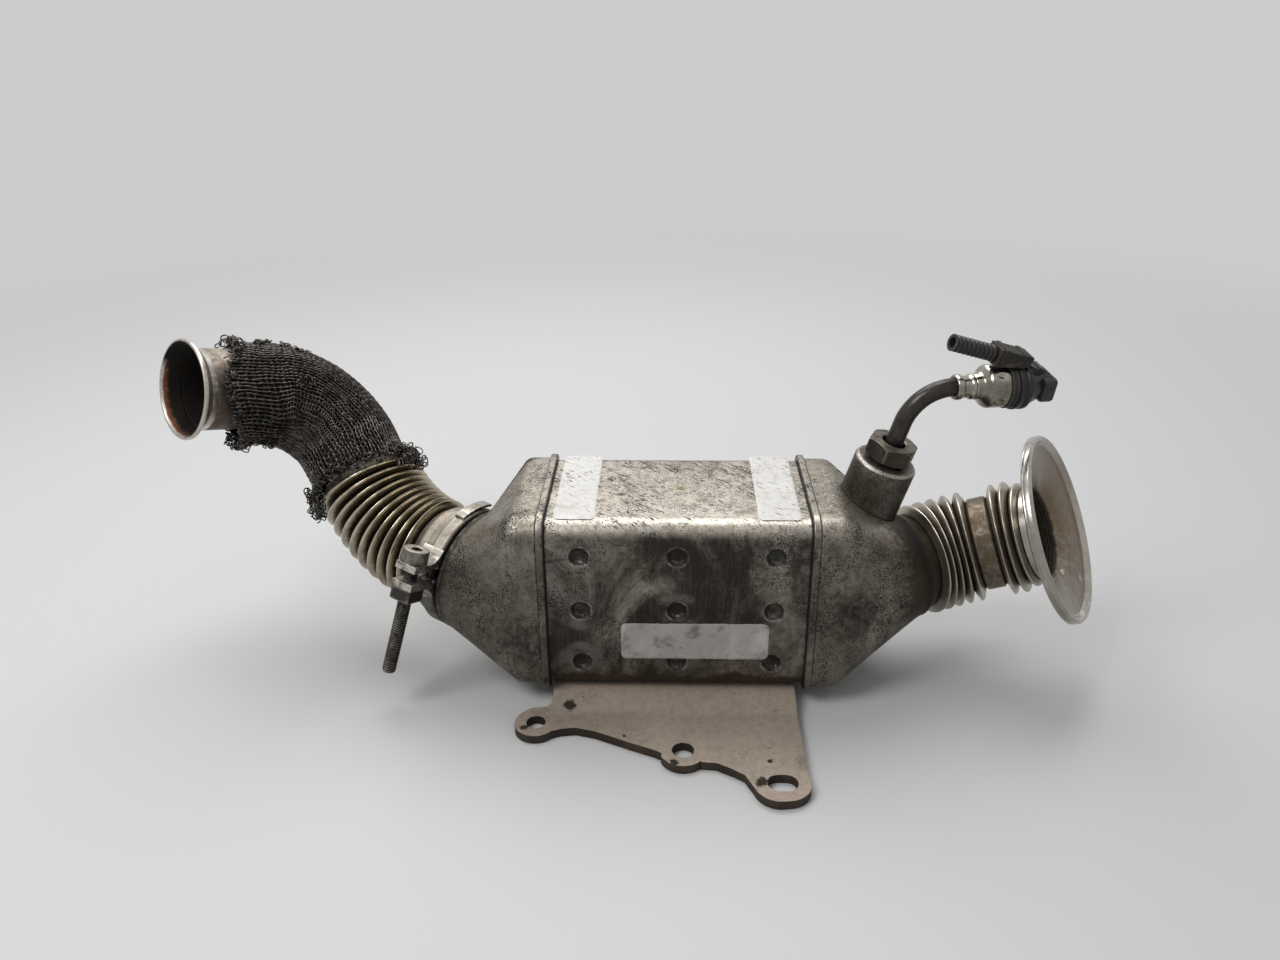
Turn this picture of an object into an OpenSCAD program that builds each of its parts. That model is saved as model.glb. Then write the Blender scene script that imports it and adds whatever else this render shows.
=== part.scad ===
/* [Core] */
// Length over both header plates
core_l = 115; // [100:1:135]
// Depth of the header plate rims
rim_d = 77; // [70:0.5:90]
// Height of the header plate rims
rim_h = 84; // [76:0.5:96]
// Corner radius of the rims
rim_r = 10; // [6:0.5:14]
// Header plate thickness
header_t = 3; // [2:0.5:5]
// How far the rims stand proud of the case
rim_step = 2.5; // [1.5:0.5:3.5]
// Case sheet thickness
case_wall = 1.5; // [1:0.1:2]
// Diameter of the pressed dimples
dimple_d = 8; // [6:0.5:10]
// Depth of the pressed dimples
dimple_depth = 2; // [1:0.1:2.4]
// Spacing of the dimples along the case
dimple_pitch_x = 40.25; // [30:0.25:42]
// Spacing of the dimples up the case
dimple_pitch_z = 25.5; // [22:0.1:27]
// Wall of the flat gas tubes
tube_wall = 0.8; // [0.5:0.1:1.2]
// Coolant gap between neighbouring gas tubes
tube_gap = 2.4; // [1.5:0.1:3]
// Coolant gap between the tubes and the case side
tube_side_gap = 4; // [3.6:0.1:6]
// Sheet thickness of the wavy fins
fin_t = 0.3; // [0.2:0.05:0.5]
// Waves across one fin
fin_waves = 12; // [8:1:16]

/* [Diffusers] */
// Straight skirt beside each header plate
skirt_l = 10.6; // [8:0.2:14]
// How far the skirt sits inside the rim
skirt_step = 1.5; // [1:0.1:2.4]
// Sheet thickness of the diffusers
cone_wall = 2; // [1.5:0.1:3]
// Distance of the inlet ring from its header plate
inlet_reach = 42.7; // [38:0.1:52]
// Sideways offset of the inlet ring
inlet_off_y = 1.1; // [-4:0.1:4]
// Height offset of the inlet ring above the case axis
inlet_off_z = 1.9; // [-4:0.1:6]
// Turn of the inlet ring to the back, degrees
inlet_yaw = 22.6; // [10:0.1:30]
// Upward tilt of the inlet ring, degrees
inlet_pitch = 5.6; // [0:0.1:12]
// Radius of the inlet ring
inlet_ring_r = 23.7; // [22.5:0.1:27]
// Distance of the outlet ring from its header plate
outlet_reach = 32.5; // [30:0.1:44]
// Sideways offset of the outlet ring
outlet_off_y = -1.5; // [-4:0.1:4]
// Height offset of the outlet ring above the case axis
outlet_off_z = -0.5; // [-4:0.1:4]
// Turn of the outlet ring to the back, degrees
outlet_yaw = 29; // [15:0.1:32]
// Upward tilt of the outlet ring, degrees
outlet_pitch = 6.5; // [0:0.1:12]
// Radius of the outlet ring
outlet_ring_r = 27.5; // [26.5:0.1:30]

/* [Inlet pipe] */
// Bore radius of the inlet side
inlet_bore_r = 18.5; // [16:0.1:20]
// Sheet thickness of the bellows
bellows_wall = 0.8; // [0.6:0.1:1]
// Height of the bellows waves above the tube
wave_h = 5.4; // [3:0.1:6]
// Length of the bare neck before the bellows
inlet_neck_l = 6.4; // [5:0.1:10]
// Step from the inlet ring in to the neck
neck_step = 0.5; // [0.2:0.1:1]
// How far the narrow end of the neck stands out from the bellows tube
neck_end = 1; // [0.5:0.1:2]
// Direction of the inlet bend round the neck, degrees
inlet_roll = -117.8; // [-140:0.1:-90]
// Bend of the first bellows section, degrees
inlet_bend_1 = 36.1; // [25:0.1:45]
// Bend radius of the first bellows section
inlet_rad_1 = 45.2; // [42:0.1:60]
// Waves of the first bellows section
inlet_waves_1 = 5; // [4:1:6]
// Length of the smooth sleeve between the bellows sections
inlet_sleeve_l = 9.2; // [7:0.1:14]
// Bend of the second bellows section, degrees
inlet_bend_2 = 14.4; // [10:0.1:20]
// Bend radius of the second bellows section
inlet_rad_2 = 62.5; // [55:0.1:75]
// Waves of the second bellows section
inlet_waves_2 = 3; // [2:1:4]
// Length of the flange hub with the flange
inlet_hub_l = 12.5; // [11:0.1:16]
// Radius of the inlet flange
inlet_flange_r = 41; // [35:0.1:45]
// Width of the rolled lip of the inlet flange
inlet_lip_w = 5; // [3.5:0.1:6]
// Slope of the lip on the face side of the inlet flange
inlet_lip_slope = 2; // [1:0.1:3]
// Depth of the dished face behind the lip
inlet_dish = 2.5; // [1.5:0.1:3]
// Sheet thickness of the inlet flange
inlet_flange_t = 2; // [1.5:0.1:2.5]

/* [Outlet pipe] */
// Bore radius of the outlet side
outlet_bore_r = 19.2; // [17.5:0.1:20]
// Length of the joint from the diffuser to the bellows
cuff_l = 21; // [18:0.1:28]
// Wall of the joint collar
collar_wall = 2.5; // [1.5:0.1:3]
// Thickness of each joint lip
lip_t = 1.5; // [1:0.1:2]
// Height of the joint lips
lip_h = 4; // [3:0.1:5]
// Thickness of the joint gasket
gasket_t = 1; // [0.5:0.1:1.5]
// Direction of the outlet bend round the joint, degrees
outlet_roll = -157.6; // [-175:0.1:-130]
// Bend of the outlet bellows, degrees
outlet_bend_1 = 42; // [30:0.1:50]
// Bend radius of the outlet bellows
outlet_rad_1 = 72.4; // [68:0.1:90]
// Length of the collar between the bellows and the elbow
elbow_collar_l = 4; // [3:0.1:6]
// Straight length before the elbow
elbow_lead = 18; // [14:0.1:26]
// Direction of the elbow round the bellows end, degrees
elbow_roll = -105.6; // [-130:0.1:-80]
// Bend of the elbow, degrees
elbow_bend = 85.4; // [70:0.1:92]
// Bend radius of the elbow
elbow_rad = 36.75; // [32:0.05:50]
// Straight length behind the elbow
elbow_tail = 37; // [30:0.1:50]
// Outside radius of the elbow pipe
pipe_r = 18; // [16:0.1:18.4]
// Wall of the elbow pipe
pipe_wall = 1.5; // [1:0.1:2.5]
// Radius of the outlet end flange
outlet_flange_r = 22; // [20:0.1:26]
// Length of the flared mouth with the outlet end flange
outlet_flange_w = 8; // [6:0.1:9]
// Width of the lip round the flared mouth
outlet_lip_w = 1.6; // [1:0.1:2.4]
// Gap between the elbow pipe and the knitted sleeve
knit_gap = 0.2; // [0.1:0.1:0.5]
// Thickness of the knitted sleeve where it is drawn tight
knit_t = 2.6; // [2:0.1:4]
// Slack of the sleeve on the inside of the bend
knit_slack = 7; // [0:0.1:8]
// How far the sleeve end is drawn askew along the pipe
knit_skew = 7; // [0:0.1:8]
// Direction round the pipe in which the sleeve end is drawn out, degrees
knit_skew_at = 58; // [-180:1:180]
// Depth of the knit ridges
knit_h = 0.6; // [0.3:0.1:1]
// Knit stitches around the sleeve
knit_around = 20; // [16:1:24]
// Knit courses along the sleeve
knit_courses = 23; // [18:1:26]
// Length of bare pipe in front of the sleeve end
knit_bare = 19; // [14:0.1:26]

/* [Clamp] */
// Sheet thickness of the clamp band
band_t = 1.6; // [1:0.1:2]
// Gap between the diffuser ring and the clamp band
band_gap = 2; // [1:0.1:3]
// Width of the flat part of the clamp band
band_flat = 5; // [3:0.1:7]
// Angle of the clamp ears around the joint, degrees
ear_angle = 110; // [90:1:140]
// Distance of the clamp screw from the band
screw_out = 9; // [8:0.1:12]
// Clear gap between the clamp ears
ear_gap = 5; // [3:0.1:8]
// Thickness of the clamp ears
ear_t = 3; // [2:0.1:4]
// Clamp screw diameter
screw_d = 6; // [5:0.1:6]
// Diameter of the screw head
head_d = 10; // [9:0.1:11]
// Size of the square trunnion
trunnion_w = 10; // [9:0.1:12]
// Clearance of the screw in the ears
screw_gap = 0.3; // [0.1:0.05:0.6]
// Clamp screw length under the head
screw_l = 50; // [40:1:60]

/* [Sensor] */
// Boss diameter
boss_d = 26.5; // [22:0.1:28]
// Distance of the boss top from the inlet header plate
boss_reach = 30.8; // [28:0.1:34]
// Height of the boss top above the rim
boss_rise = 11.4; // [9:0.1:16]
// Lean of the boss to the inlet, degrees
boss_lean = 15; // [10:0.5:20]
// Lean of the boss to the front, degrees
boss_front = 6; // [0:0.5:10]
// Length of the boss before its foot is fitted to the diffuser
boss_l = 30; // [26:0.5:34]
// Size of the nut across flats
nut_af = 19; // [17:0.5:22]
// Turn of the nut hexagon round the boss, degrees
nut_turn = 6; // [0:1:30]
// Height of the nut hexagon
nut_h = 7.4; // [6:0.1:10]
// Height of the neck under the hexagon
nut_neck_h = 1.8; // [1:0.1:3]
// Depth of the recess round the stem in the nut top
nut_recess = 4; // [2:0.1:6]
// Gap round the stem in the nut recess
nut_recess_gap = 1.2; // [0.5:0.1:2]
// Diameter of the nut shank
shank_d = 14; // [12:0.1:16]
// Length of the nut shank in the boss
shank_l = 8; // [6:0.1:9]
// Stem diameter
stem_d = 7.6; // [6:0.1:8]
// Free straight stem above the nut
stem_rise = 9.6; // [6:0.1:14]
// Bend radius of the stem
stem_rad = 19; // [15:0.1:25]
// Bend of the stem, degrees
stem_bend = 79; // [60:0.5:90]
// Turn of the stem bend to the back, degrees
stem_roll = 14.5; // [0:0.5:25]
// Probe diameter
probe_d = 5; // [3:0.1:6]
// Probe length under the shank
probe_l = 34; // [24:0.5:40]
// Wall of the stem ferrule
ferrule_wall = 1.5; // [1:0.1:2]
// Length of the stem ferrule
ferrule_l = 8; // [6:0.1:10]
// Depth of the stem in the ferrule
stem_depth = 6; // [4:0.1:7]

/* [Plug] */
// Plug diameter at the seal
plug_d = 19; // [16:0.1:20]
// Step from the seal in to the metal sleeve
sleeve_step = 0.4; // [0.2:0.1:1]
// Length of the metal sleeve
sleeve_l = 13.5; // [11:0.1:18]
// Length of the tapered nose of the metal sleeve
nose_l = 6; // [4:0.1:8]
// Length of the seal
seal_l = 3.5; // [2:0.1:5]
// Height of the plug collar above the seal
plug_collar_h = 0.7; // [0.3:0.1:1.5]
// Length of the plug collar
plug_collar_l = 5.5; // [4:0.1:8]
// Length of the taper behind the plug collar
taper_l = 6.5; // [5:0.1:10]
// Length of the end cap
cap_l = 5.5; // [4:0.1:8]
// Height of the end cap
cap_h = 10.5; // [9:0.1:14]
// Width of the end cap
cap_w = 15; // [12:0.1:18]
// Width of the latch
latch_w = 8; // [6:0.1:10]
// Height of the latch above the end cap
latch_t = 2.5; // [1.5:0.1:4]
// Conduit diameter
conduit_d = 7; // [6:0.1:7.4]
// Wall of the conduit
conduit_wall = 1.5; // [1:0.1:2]
// Depth of the conduit grooves
conduit_groove = 0.6; // [0.3:0.1:0.8]
// Length of the cut conduit
conduit_l = 20; // [16:0.5:28]
// Tilt of the conduit and its clip, degrees
conduit_tilt = 16; // [12:0.5:20]
// Height of the conduit end above the plug collar
conduit_out = 4.85; // [4.2:0.05:5.6]
// How far the clip reaches back over the metal sleeve
clip_back = 11.3; // [10:0.1:13]
// Length of the clip
clip_l = 16; // [14:0.1:17]
// Height of the clip
clip_h = 7.6; // [7.4:0.1:9]
// Width of the clip
clip_w = 9; // [8:0.1:11]
// Corner radius of the clip
clip_r = 2; // [1:0.1:3]
// Gap between the clip and the seal
clip_gap = 0.3; // [0.2:0.1:1]

/* [Coolant ports] */
// Outside diameter of the coolant pipes
port_d = 16; // [12:0.5:18]
// Wall of the coolant pipes
port_wall = 1.5; // [1:0.1:2]
// Free length of the coolant pipes
port_l = 28; // [20:0.5:40]
// Distance of the coolant pipes from the middle of the case
port_off_x = 20.1; // [14:0.1:26]
// Height of the coolant pipes off the case axis
port_off_z = 12.8; // [8:0.1:15]
// Height of the weld collar round a coolant pipe
port_weld = 2; // [1:0.1:3]
// Height of the hose bead
port_bead = 1; // [0.5:0.1:1.5]

/* [Bracket] */
// Sheet thickness of the bracket
plate_t = 4; // [3:0.1:5]
// Height of the rims above the bracket seat
base_gap = 5; // [4.5:0.1:7]
// Diameter of the left hole
hole_left_d = 8; // [6:0.1:9]
// Diameter of the middle hole
hole_mid_d = 9; // [7:0.1:10]
// Width of the slot
slot_w = 9; // [7:0.1:10]
// Length of the slot
slot_l = 12; // [11:0.1:14]
// Metal around the holes
hole_edge = 5; // [4:0.1:6]
// Place of the left hole along the case
hole_left_x = -58.8; // [-62:0.1:-54]
// Place of the left hole in front of the case axis
hole_left_y = -54.8; // [-60:0.1:-52]
// Place of the middle hole along the case
hole_mid_x = 2.5; // [-2:0.1:8]
// Place of the middle hole in front of the case axis
hole_mid_y = -71.5; // [-76:0.1:-66]
// Place of the slot along the case
slot_x = 40.8; // [36:0.1:44]
// Place of the slot in front of the case axis
slot_y = -90; // [-96:0.1:-84]
// Place of the bend in front of the case axis
bend_y = -48.8; // [-50:0.1:-46]
// Length of the bracket foot under the case
foot_l = 24; // [16:0.5:40]
// Gap from the outlet header to the bracket edge
bracket_in_left = 1.5; // [1:0.1:6]
// Gap from the inlet header to the bracket edge
bracket_in_right = 3.5; // [1:0.1:6]

/* [Hidden] */
$fn = 64;
tube_count = 7;
case_z = base_gap + rim_h / 2;
case_d = rim_d - 2 * rim_step;
case_h = rim_h - 2 * rim_step;
case_r = rim_r - 1.5;
case_len = core_l - 2 * header_t;
cavity_d = case_d - 2 * case_wall;
cavity_h = case_h - 2 * case_wall;
tube_pitch = (cavity_h - tube_gap) / tube_count;
tube_h = tube_pitch - tube_gap;
tube_w = cavity_d - 2 * tube_side_gap;
dimple_rad = (dimple_d * dimple_d / 4 + dimple_depth * dimple_depth) / (2 * dimple_depth);
skirt_d = rim_d - 2 * skirt_step;
skirt_h = rim_h - 2 * skirt_step;
skirt_r = rim_r - 1;
inlet_tube_r = inlet_bore_r + bellows_wall;
outlet_tube_r = outlet_bore_r + bellows_wall;
outlet_waves = 10;
collar_r = outlet_bore_r + collar_wall;
lip_r = collar_r + lip_h;
lip_z = band_gap + band_t;
gasket_z = lip_z + lip_t;
cuff_z = gasket_z + gasket_t;
band_in = lip_r;
band_out = band_in + band_t;
band_bend_z = cuff_z + lip_t;
band_end_z = band_bend_z + band_flat;
cuff_r = collar_r + 2;
ear_z = (band_gap + band_end_z) / 2;
screw_x = band_out + screw_out;
ear_top = screw_x + screw_d;
head_h = screw_d;
trunnion_h = screw_d;
ring_l = 3;
bellows_around = 28;
inlet_centre = [core_l / 2 + inlet_reach, inlet_off_y, case_z + inlet_off_z];
outlet_centre = [-core_l / 2 - outlet_reach, outlet_off_y, case_z + outlet_off_z];
inlet_arc_1 = inlet_rad_1 * inlet_bend_1 * PI / 180;
inlet_arc_2 = inlet_rad_2 * inlet_bend_2 * PI / 180;
inlet_second = inlet_arc_1 + inlet_sleeve_l;
tail_l = elbow_tail - outlet_flange_w;
knit_in = pipe_r + knit_gap;
knit_r = knit_in + knit_t;
elbow_arc = elbow_rad * elbow_bend * PI / 180;
knit_len = elbow_lead - elbow_collar_l + elbow_arc + elbow_tail - knit_bare;
knit_rows = 2 * knit_courses;
knit_inner_rows = 14;
knit_cols = 2 * knit_around;
probe_hole_d = shank_d - 3;
nut_top = nut_neck_h + nut_h;
plug_z = ferrule_l;
seal_z = plug_z + sleeve_l;
harness_z = seal_z + seal_l;
taper_z = harness_z + plug_collar_l;
cap_z = taper_z + taper_l;
plug_collar_r = plug_d / 2 + plug_collar_h;
conduit_grooves = 20;
bracket_left = -core_l / 2 + header_t + bracket_in_left;
bracket_right = core_l / 2 - header_t - bracket_in_right;
bracket_l = bracket_right - bracket_left;
seat_top = base_gap + rim_step;
flange_y = -rim_d / 2 + 3;
lobe_left_r = hole_left_d / 2 + hole_edge;
lobe_mid_r = hole_mid_d / 2 + hole_edge;
lobe_slot_r = slot_w / 2 + hole_edge + 1;
port_y = case_d / 2;

// Corner points of a rounded rectangle
function corner(cx, cy, r, from) = [
    for (k = [0 : 8]) [cx + r * cos(from + k * 11.25), cy + r * sin(from + k * 11.25)]
];
function rounded(w, h, r) = concat(
    corner(w / 2 - r, h / 2 - r, r, 0),
    corner(-w / 2 + r, h / 2 - r, r, 90),
    corner(-w / 2 + r, -h / 2 + r, r, 180),
    corner(w / 2 - r, -h / 2 + r, r, 270)
);

// Faces of a closed wall: outer rings first, inner rings after, n points a ring
function wall_faces(n, outer_rows, inner_rows) = let (
    base = (outer_rows + 1) * n,
    last = base + inner_rows * n,
    end = outer_rows * n
) concat(
    [for (i = [0 : outer_rows - 1]) for (j = [0 : n - 1]) [i * n + j, (i + 1) * n + j, i * n + (j + 1) % n]],
    [for (i = [0 : outer_rows - 1]) for (j = [0 : n - 1])
        [(i + 1) * n + j, (i + 1) * n + (j + 1) % n, i * n + (j + 1) % n]],
    [for (i = [0 : inner_rows - 1]) for (j = [0 : n - 1])
        [base + i * n + j, base + i * n + (j + 1) % n, base + (i + 1) * n + j]],
    [for (i = [0 : inner_rows - 1]) for (j = [0 : n - 1])
        [base + (i + 1) * n + j, base + i * n + (j + 1) % n, base + (i + 1) * n + (j + 1) % n]],
    [for (j = [0 : n - 1]) [j, (j + 1) % n, base + j]],
    [for (j = [0 : n - 1]) [(j + 1) % n, base + (j + 1) % n, base + j]],
    [for (j = [0 : n - 1]) [end + j, last + j, end + (j + 1) % n]],
    [for (j = [0 : n - 1]) [end + (j + 1) % n, last + j, last + (j + 1) % n]]
);
// Point of a ring of radius r at angle t round a path in the xz plane
function ring_point(c, a, r, t) = c + r * [cos(t) * cos(a), sin(t), -cos(t) * sin(a)];
function turn_y(v, a) = [v[0] * cos(a) + v[2] * sin(a), v[1], v[2] * cos(a) - v[0] * sin(a)];
function turn_z(v, a) = [v[0] * cos(a) - v[1] * sin(a), v[0] * sin(a) + v[1] * cos(a), v[2]];
// Radius of a bellows wall at phase u of one wave
function wave_r(u, low, rise) = low + rise * (u == 0 ? 0 : u == 0.5 ? 1 : 0.72);

// Rings of a diffuser: side is 1 for the inlet and -1 for the outlet
function skirt_ring(side, x, inset) = [
    for (p = rounded(skirt_d - 2 * inset, skirt_h - 2 * inset, skirt_r - inset))
        [side * x, side * p[0], case_z + p[1]]
];
function disc_ring(side, r, back) = [
    for (c = [0 : 3]) for (k = [0 : 8]) let (t = c * 90 + 5 + k * 10, v = [-r * sin(t), r * cos(t), -back])
        side > 0
            ? inlet_centre + turn_z(turn_y(v, 90 - inlet_pitch), inlet_yaw)
            : outlet_centre + turn_z(turn_y(v, 90 - outlet_pitch), 180 - outlet_yaw)
];
function diffuser_outer(side, r) = concat(
    skirt_ring(side, core_l / 2, 0),
    skirt_ring(side, core_l / 2 + skirt_l, 0),
    disc_ring(side, r, ring_l),
    disc_ring(side, r, 0)
);
function diffuser_inner(side, r, bore) = concat(
    skirt_ring(side, core_l / 2, cone_wall),
    skirt_ring(side, core_l / 2 + skirt_l, cone_wall),
    disc_ring(side, r - cone_wall, ring_l),
    disc_ring(side, bore, 0)
);

// Frame of the part: the middle bracket hole at its seat is the origin
module place() {
    translate([-hole_mid_x, -hole_mid_y, 0]) children();
}

// Rounded bar along the case, starting at x
module bar(x, len, w, h, r) {
    translate([x, 0, case_z]) rotate([90, 0, 90]) linear_extrude(len) polygon(rounded(w, h, r));
}

module inlet_at() {
    translate(inlet_centre) rotate([0, 90 - inlet_pitch, inlet_yaw]) children();
}

module outlet_at() {
    translate(outlet_centre) rotate([0, 90 - outlet_pitch, 180 - outlet_yaw]) children();
}

// Moves along a bend of radius r towards local x
module along_bend(r, a) {
    translate([r, 0, 0]) rotate([0, a, 0]) translate([-r, 0, 0]) children();
}

// Round bar swept round a bend
module bend_bar(r, a, rad) {
    translate([r, 0, 0]) rotate([90, 0, 0]) mirror([1, 0, 0])
        rotate_extrude(angle = a, $fn = 96) translate([r, 0]) circle(r = rad);
}

module inlet_bend_at() {
    inlet_at() translate([0, 0, inlet_neck_l]) rotate([0, 0, inlet_roll]) children();
}

module inlet_sleeve_at() {
    inlet_bend_at() along_bend(inlet_rad_1, inlet_bend_1) children();
}

module inlet_second_at() {
    inlet_sleeve_at() translate([0, 0, inlet_sleeve_l]) children();
}

module inlet_hub_at() {
    inlet_second_at() along_bend(inlet_rad_2, inlet_bend_2) children();
}

module outlet_bend_at() {
    outlet_at() translate([0, 0, cuff_l]) rotate([0, 0, outlet_roll]) children();
}

module elbow_at() {
    outlet_bend_at() along_bend(outlet_rad_1, outlet_bend_1) rotate([0, 0, elbow_roll]) children();
}

module tail_at() {
    elbow_at() translate([0, 0, elbow_lead]) along_bend(elbow_rad, elbow_bend) children();
}

module boss_at() {
    translate([core_l / 2 + boss_reach, 0, base_gap + rim_h + boss_rise])
        rotate([boss_front, boss_lean, 0]) children();
}

module stem_bend_at() {
    boss_at() rotate([0, 0, stem_roll]) translate([0, 0, nut_top + stem_rise]) children();
}

module stem_end_at() {
    stem_bend_at() along_bend(stem_rad, stem_bend) children();
}

module clamp_at() {
    outlet_at() rotate([0, 0, ear_angle]) children();
}

// Dimple spheres on both long sides
module dimple_balls(r) {
    for (side = [-1, 1])
        for (i = [-1 : 1])
            for (k = [-1 : 1])
                translate([
                    i * dimple_pitch_x,
                    side * (case_d / 2 + dimple_rad - dimple_depth),
                    case_z + k * dimple_pitch_z
                ])
                    sphere(r = r);
}

module core_case() {
    color("Silver") place() difference() {
        union() {
            difference() {
                bar(-case_len / 2, case_len, case_d, case_h, case_r);
                bar(-case_len / 2 - 1, case_len + 2, cavity_d, cavity_h, case_r - case_wall);
            }
            intersection() {
                dimple_balls(dimple_rad + case_wall);
                translate([-core_l / 2, -case_d / 2 + case_wall / 2, case_z - case_h / 2])
                    cube([core_l, case_d - case_wall, case_h]);
            }
        }
        dimple_balls(dimple_rad);
        for (s = [-1, 1])
            translate([s * port_off_x, case_d / 2 + 1, case_z + s * port_off_z]) rotate([90, 0, 0])
                cylinder(d = port_d, h = case_wall + 2);
    }
}

module header(x) {
    color("Gray") place() difference() {
        bar(x, header_t, rim_d, rim_h, rim_r);
        for (i = [0 : tube_count - 1])
            translate([0, 0, (i - (tube_count - 1) / 2) * tube_pitch])
                bar(x - 1, header_t + 2, tube_w, tube_h, tube_h / 2 - 0.1);
    }
}

module header_inlet() {
    header(core_l / 2 - header_t);
}

module header_outlet() {
    header(-core_l / 2);
}

module gas_tube(i) {
    color("LightSteelBlue") place()
        translate([0, 0, (i - (tube_count - 1) / 2) * tube_pitch]) difference() {
            bar(-core_l / 2, core_l, tube_w, tube_h, tube_h / 2 - 0.1);
            bar(-core_l / 2 - 1, core_l + 2, tube_w - 2 * tube_wall, tube_h - 2 * tube_wall,
                tube_h / 2 - tube_wall - 0.1);
        }
}

// Wavy fin inside one gas tube
module fin(i) {
    inner_h = tube_h - 2 * tube_wall;
    wave_l = (tube_w - tube_h - 2) / fin_waves;
    half = wave_l / 2;
    start = -fin_waves * half;
    color("Goldenrod") place()
        translate([0, 0, (i - (tube_count - 1) / 2) * tube_pitch])
            translate([-core_l / 2 + 8, 0, case_z]) rotate([90, 0, 90]) linear_extrude(core_l - 16)
                union() {
                    for (k = [0 : fin_waves - 1]) {
                        translate([start + k * wave_l, -inner_h / 2])
                            square([half + fin_t / 2, fin_t]);
                        translate([start + k * wave_l + half - fin_t / 2, -inner_h / 2])
                            square([fin_t, inner_h]);
                        translate([start + k * wave_l + half - fin_t / 2, inner_h / 2 - fin_t])
                            square([half + fin_t, fin_t]);
                        translate([start + (k + 1) * wave_l - fin_t / 2, -inner_h / 2])
                            square([fin_t, inner_h]);
                    }
                }
}

// Solid body of the inlet diffuser without its hollow
module inlet_solid() {
    n = 36;
    faces = concat(
        [for (i = [0 : 2]) for (j = [0 : n - 1]) [i * n + j, (i + 1) * n + j, i * n + (j + 1) % n]],
        [for (i = [0 : 2]) for (j = [0 : n - 1])
            [(i + 1) * n + j, (i + 1) * n + (j + 1) % n, i * n + (j + 1) % n]],
        [[for (j = [0 : n - 1]) j]],
        [[for (j = [0 : n - 1]) 4 * n - 1 - j]]
    );
    polyhedron(points = diffuser_outer(1, inlet_ring_r), faces = faces, convexity = 4);
}

module inlet_diffuser() {
    color("DarkKhaki") place() difference() {
        polyhedron(
            points = concat(diffuser_outer(1, inlet_ring_r), diffuser_inner(1, inlet_ring_r, inlet_bore_r)),
            faces = wall_faces(36, 3, 3),
            convexity = 4
        );
        boss_at() translate([0, 0, -probe_l]) cylinder(d = probe_hole_d, h = probe_l);
    }
}

module outlet_diffuser() {
    color("DarkKhaki") place() polyhedron(
        points = concat(diffuser_outer(-1, outlet_ring_r), diffuser_inner(-1, outlet_ring_r, outlet_bore_r)),
        faces = wall_faces(36, 3, 3),
        convexity = 4
    );
}

module outlet_collar() {
    color("DarkKhaki") place() outlet_at() rotate_extrude() polygon([
        [outlet_bore_r, 0],
        [collar_r, 0],
        [collar_r, lip_z],
        [lip_r, lip_z],
        [lip_r, gasket_z],
        [outlet_bore_r, gasket_z]
    ]);
}

// Coolant pipe with a hose bead
module port(s) {
    r = port_d / 2;
    color("Silver") place()
        translate([s * port_off_x, port_y - case_wall, case_z + s * port_off_z]) rotate([-90, 0, 0])
            rotate_extrude() polygon([
                [r - port_wall, 0],
                [r, 0],
                [r, case_wall],
                [r + port_weld, case_wall],
                [r + port_weld, case_wall + port_weld],
                [r, case_wall + port_weld + 1],
                [r, case_wall + port_l - 7],
                [r + port_bead, case_wall + port_l - 6],
                [r + port_bead, case_wall + port_l - 5],
                [r, case_wall + port_l - 3],
                [r, case_wall + port_l],
                [r - port_wall, case_wall + port_l]
            ]);
}

module coolant_inlet_pipe() {
    port(-1);
}

module coolant_outlet_pipe() {
    port(1);
}

module sensor_boss() {
    color("DimGray") place() difference() {
        boss_at() translate([0, 0, -boss_l]) cylinder(d = boss_d, h = boss_l);
        inlet_solid();
        boss_at() translate([0, 0, -shank_l]) cylinder(d = shank_d, h = shank_l + 1);
        boss_at() translate([0, 0, -probe_l]) cylinder(d = probe_hole_d, h = probe_l);
    }
}

module sensor_nut() {
    color("DarkOliveGreen") place() boss_at() difference() {
        union() {
            translate([0, 0, -shank_l]) cylinder(d = shank_d, h = shank_l + nut_neck_h + nut_h / 2);
            translate([0, 0, nut_neck_h]) rotate([0, 0, nut_turn])
                cylinder(d = nut_af / cos(30), h = nut_h, $fn = 6);
        }
        translate([0, 0, -shank_l - 1]) cylinder(d = stem_d, h = shank_l + nut_top + 2);
        translate([0, 0, nut_top - nut_recess])
            cylinder(d = stem_d + 2 * nut_recess_gap, h = nut_recess + 1);
    }
}

module sensor_probe() {
    color("Silver") place() boss_at() translate([0, 0, -shank_l - probe_l])
        cylinder(d = probe_d, h = probe_l);
}

module sensor_stem() {
    color("SaddleBrown") place() {
        boss_at() translate([0, 0, -shank_l]) cylinder(d = stem_d, h = shank_l + nut_top + stem_rise);
        stem_bend_at() bend_bar(stem_rad, stem_bend, stem_d / 2);
        stem_end_at() cylinder(d = stem_d, h = stem_depth);
    }
}

module stem_ferrule() {
    color("Gray") place() stem_end_at() difference() {
        cylinder(d = stem_d + 2 * ferrule_wall, h = ferrule_l);
        translate([0, 0, -1]) cylinder(d = stem_d, h = stem_depth + 1);
    }
}

module plug_sleeve() {
    nose_r = stem_d / 2 + ferrule_wall;
    sleeve_r = plug_d / 2 - sleeve_step;
    color("Silver") place() stem_end_at() rotate_extrude() polygon([
        [0, plug_z],
        [nose_r, plug_z],
        [nose_r + sleeve_step, plug_z + nose_l / 2],
        [sleeve_r - 2 * sleeve_step, plug_z + nose_l * 0.8],
        [sleeve_r, plug_z + nose_l],
        [sleeve_r, seal_z],
        [0, seal_z]
    ]);
}

module plug_seal() {
    color("SlateGray") place() stem_end_at() translate([0, 0, seal_z]) cylinder(d = plug_d, h = seal_l);
}

// Taper of the plug between its collar and the end cap
module plug_taper() {
    translate([0, 0, taper_z]) cylinder(r1 = plug_d / 2 - sleeve_step, r2 = cap_h / 2 + 1, h = taper_l);
}

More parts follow.
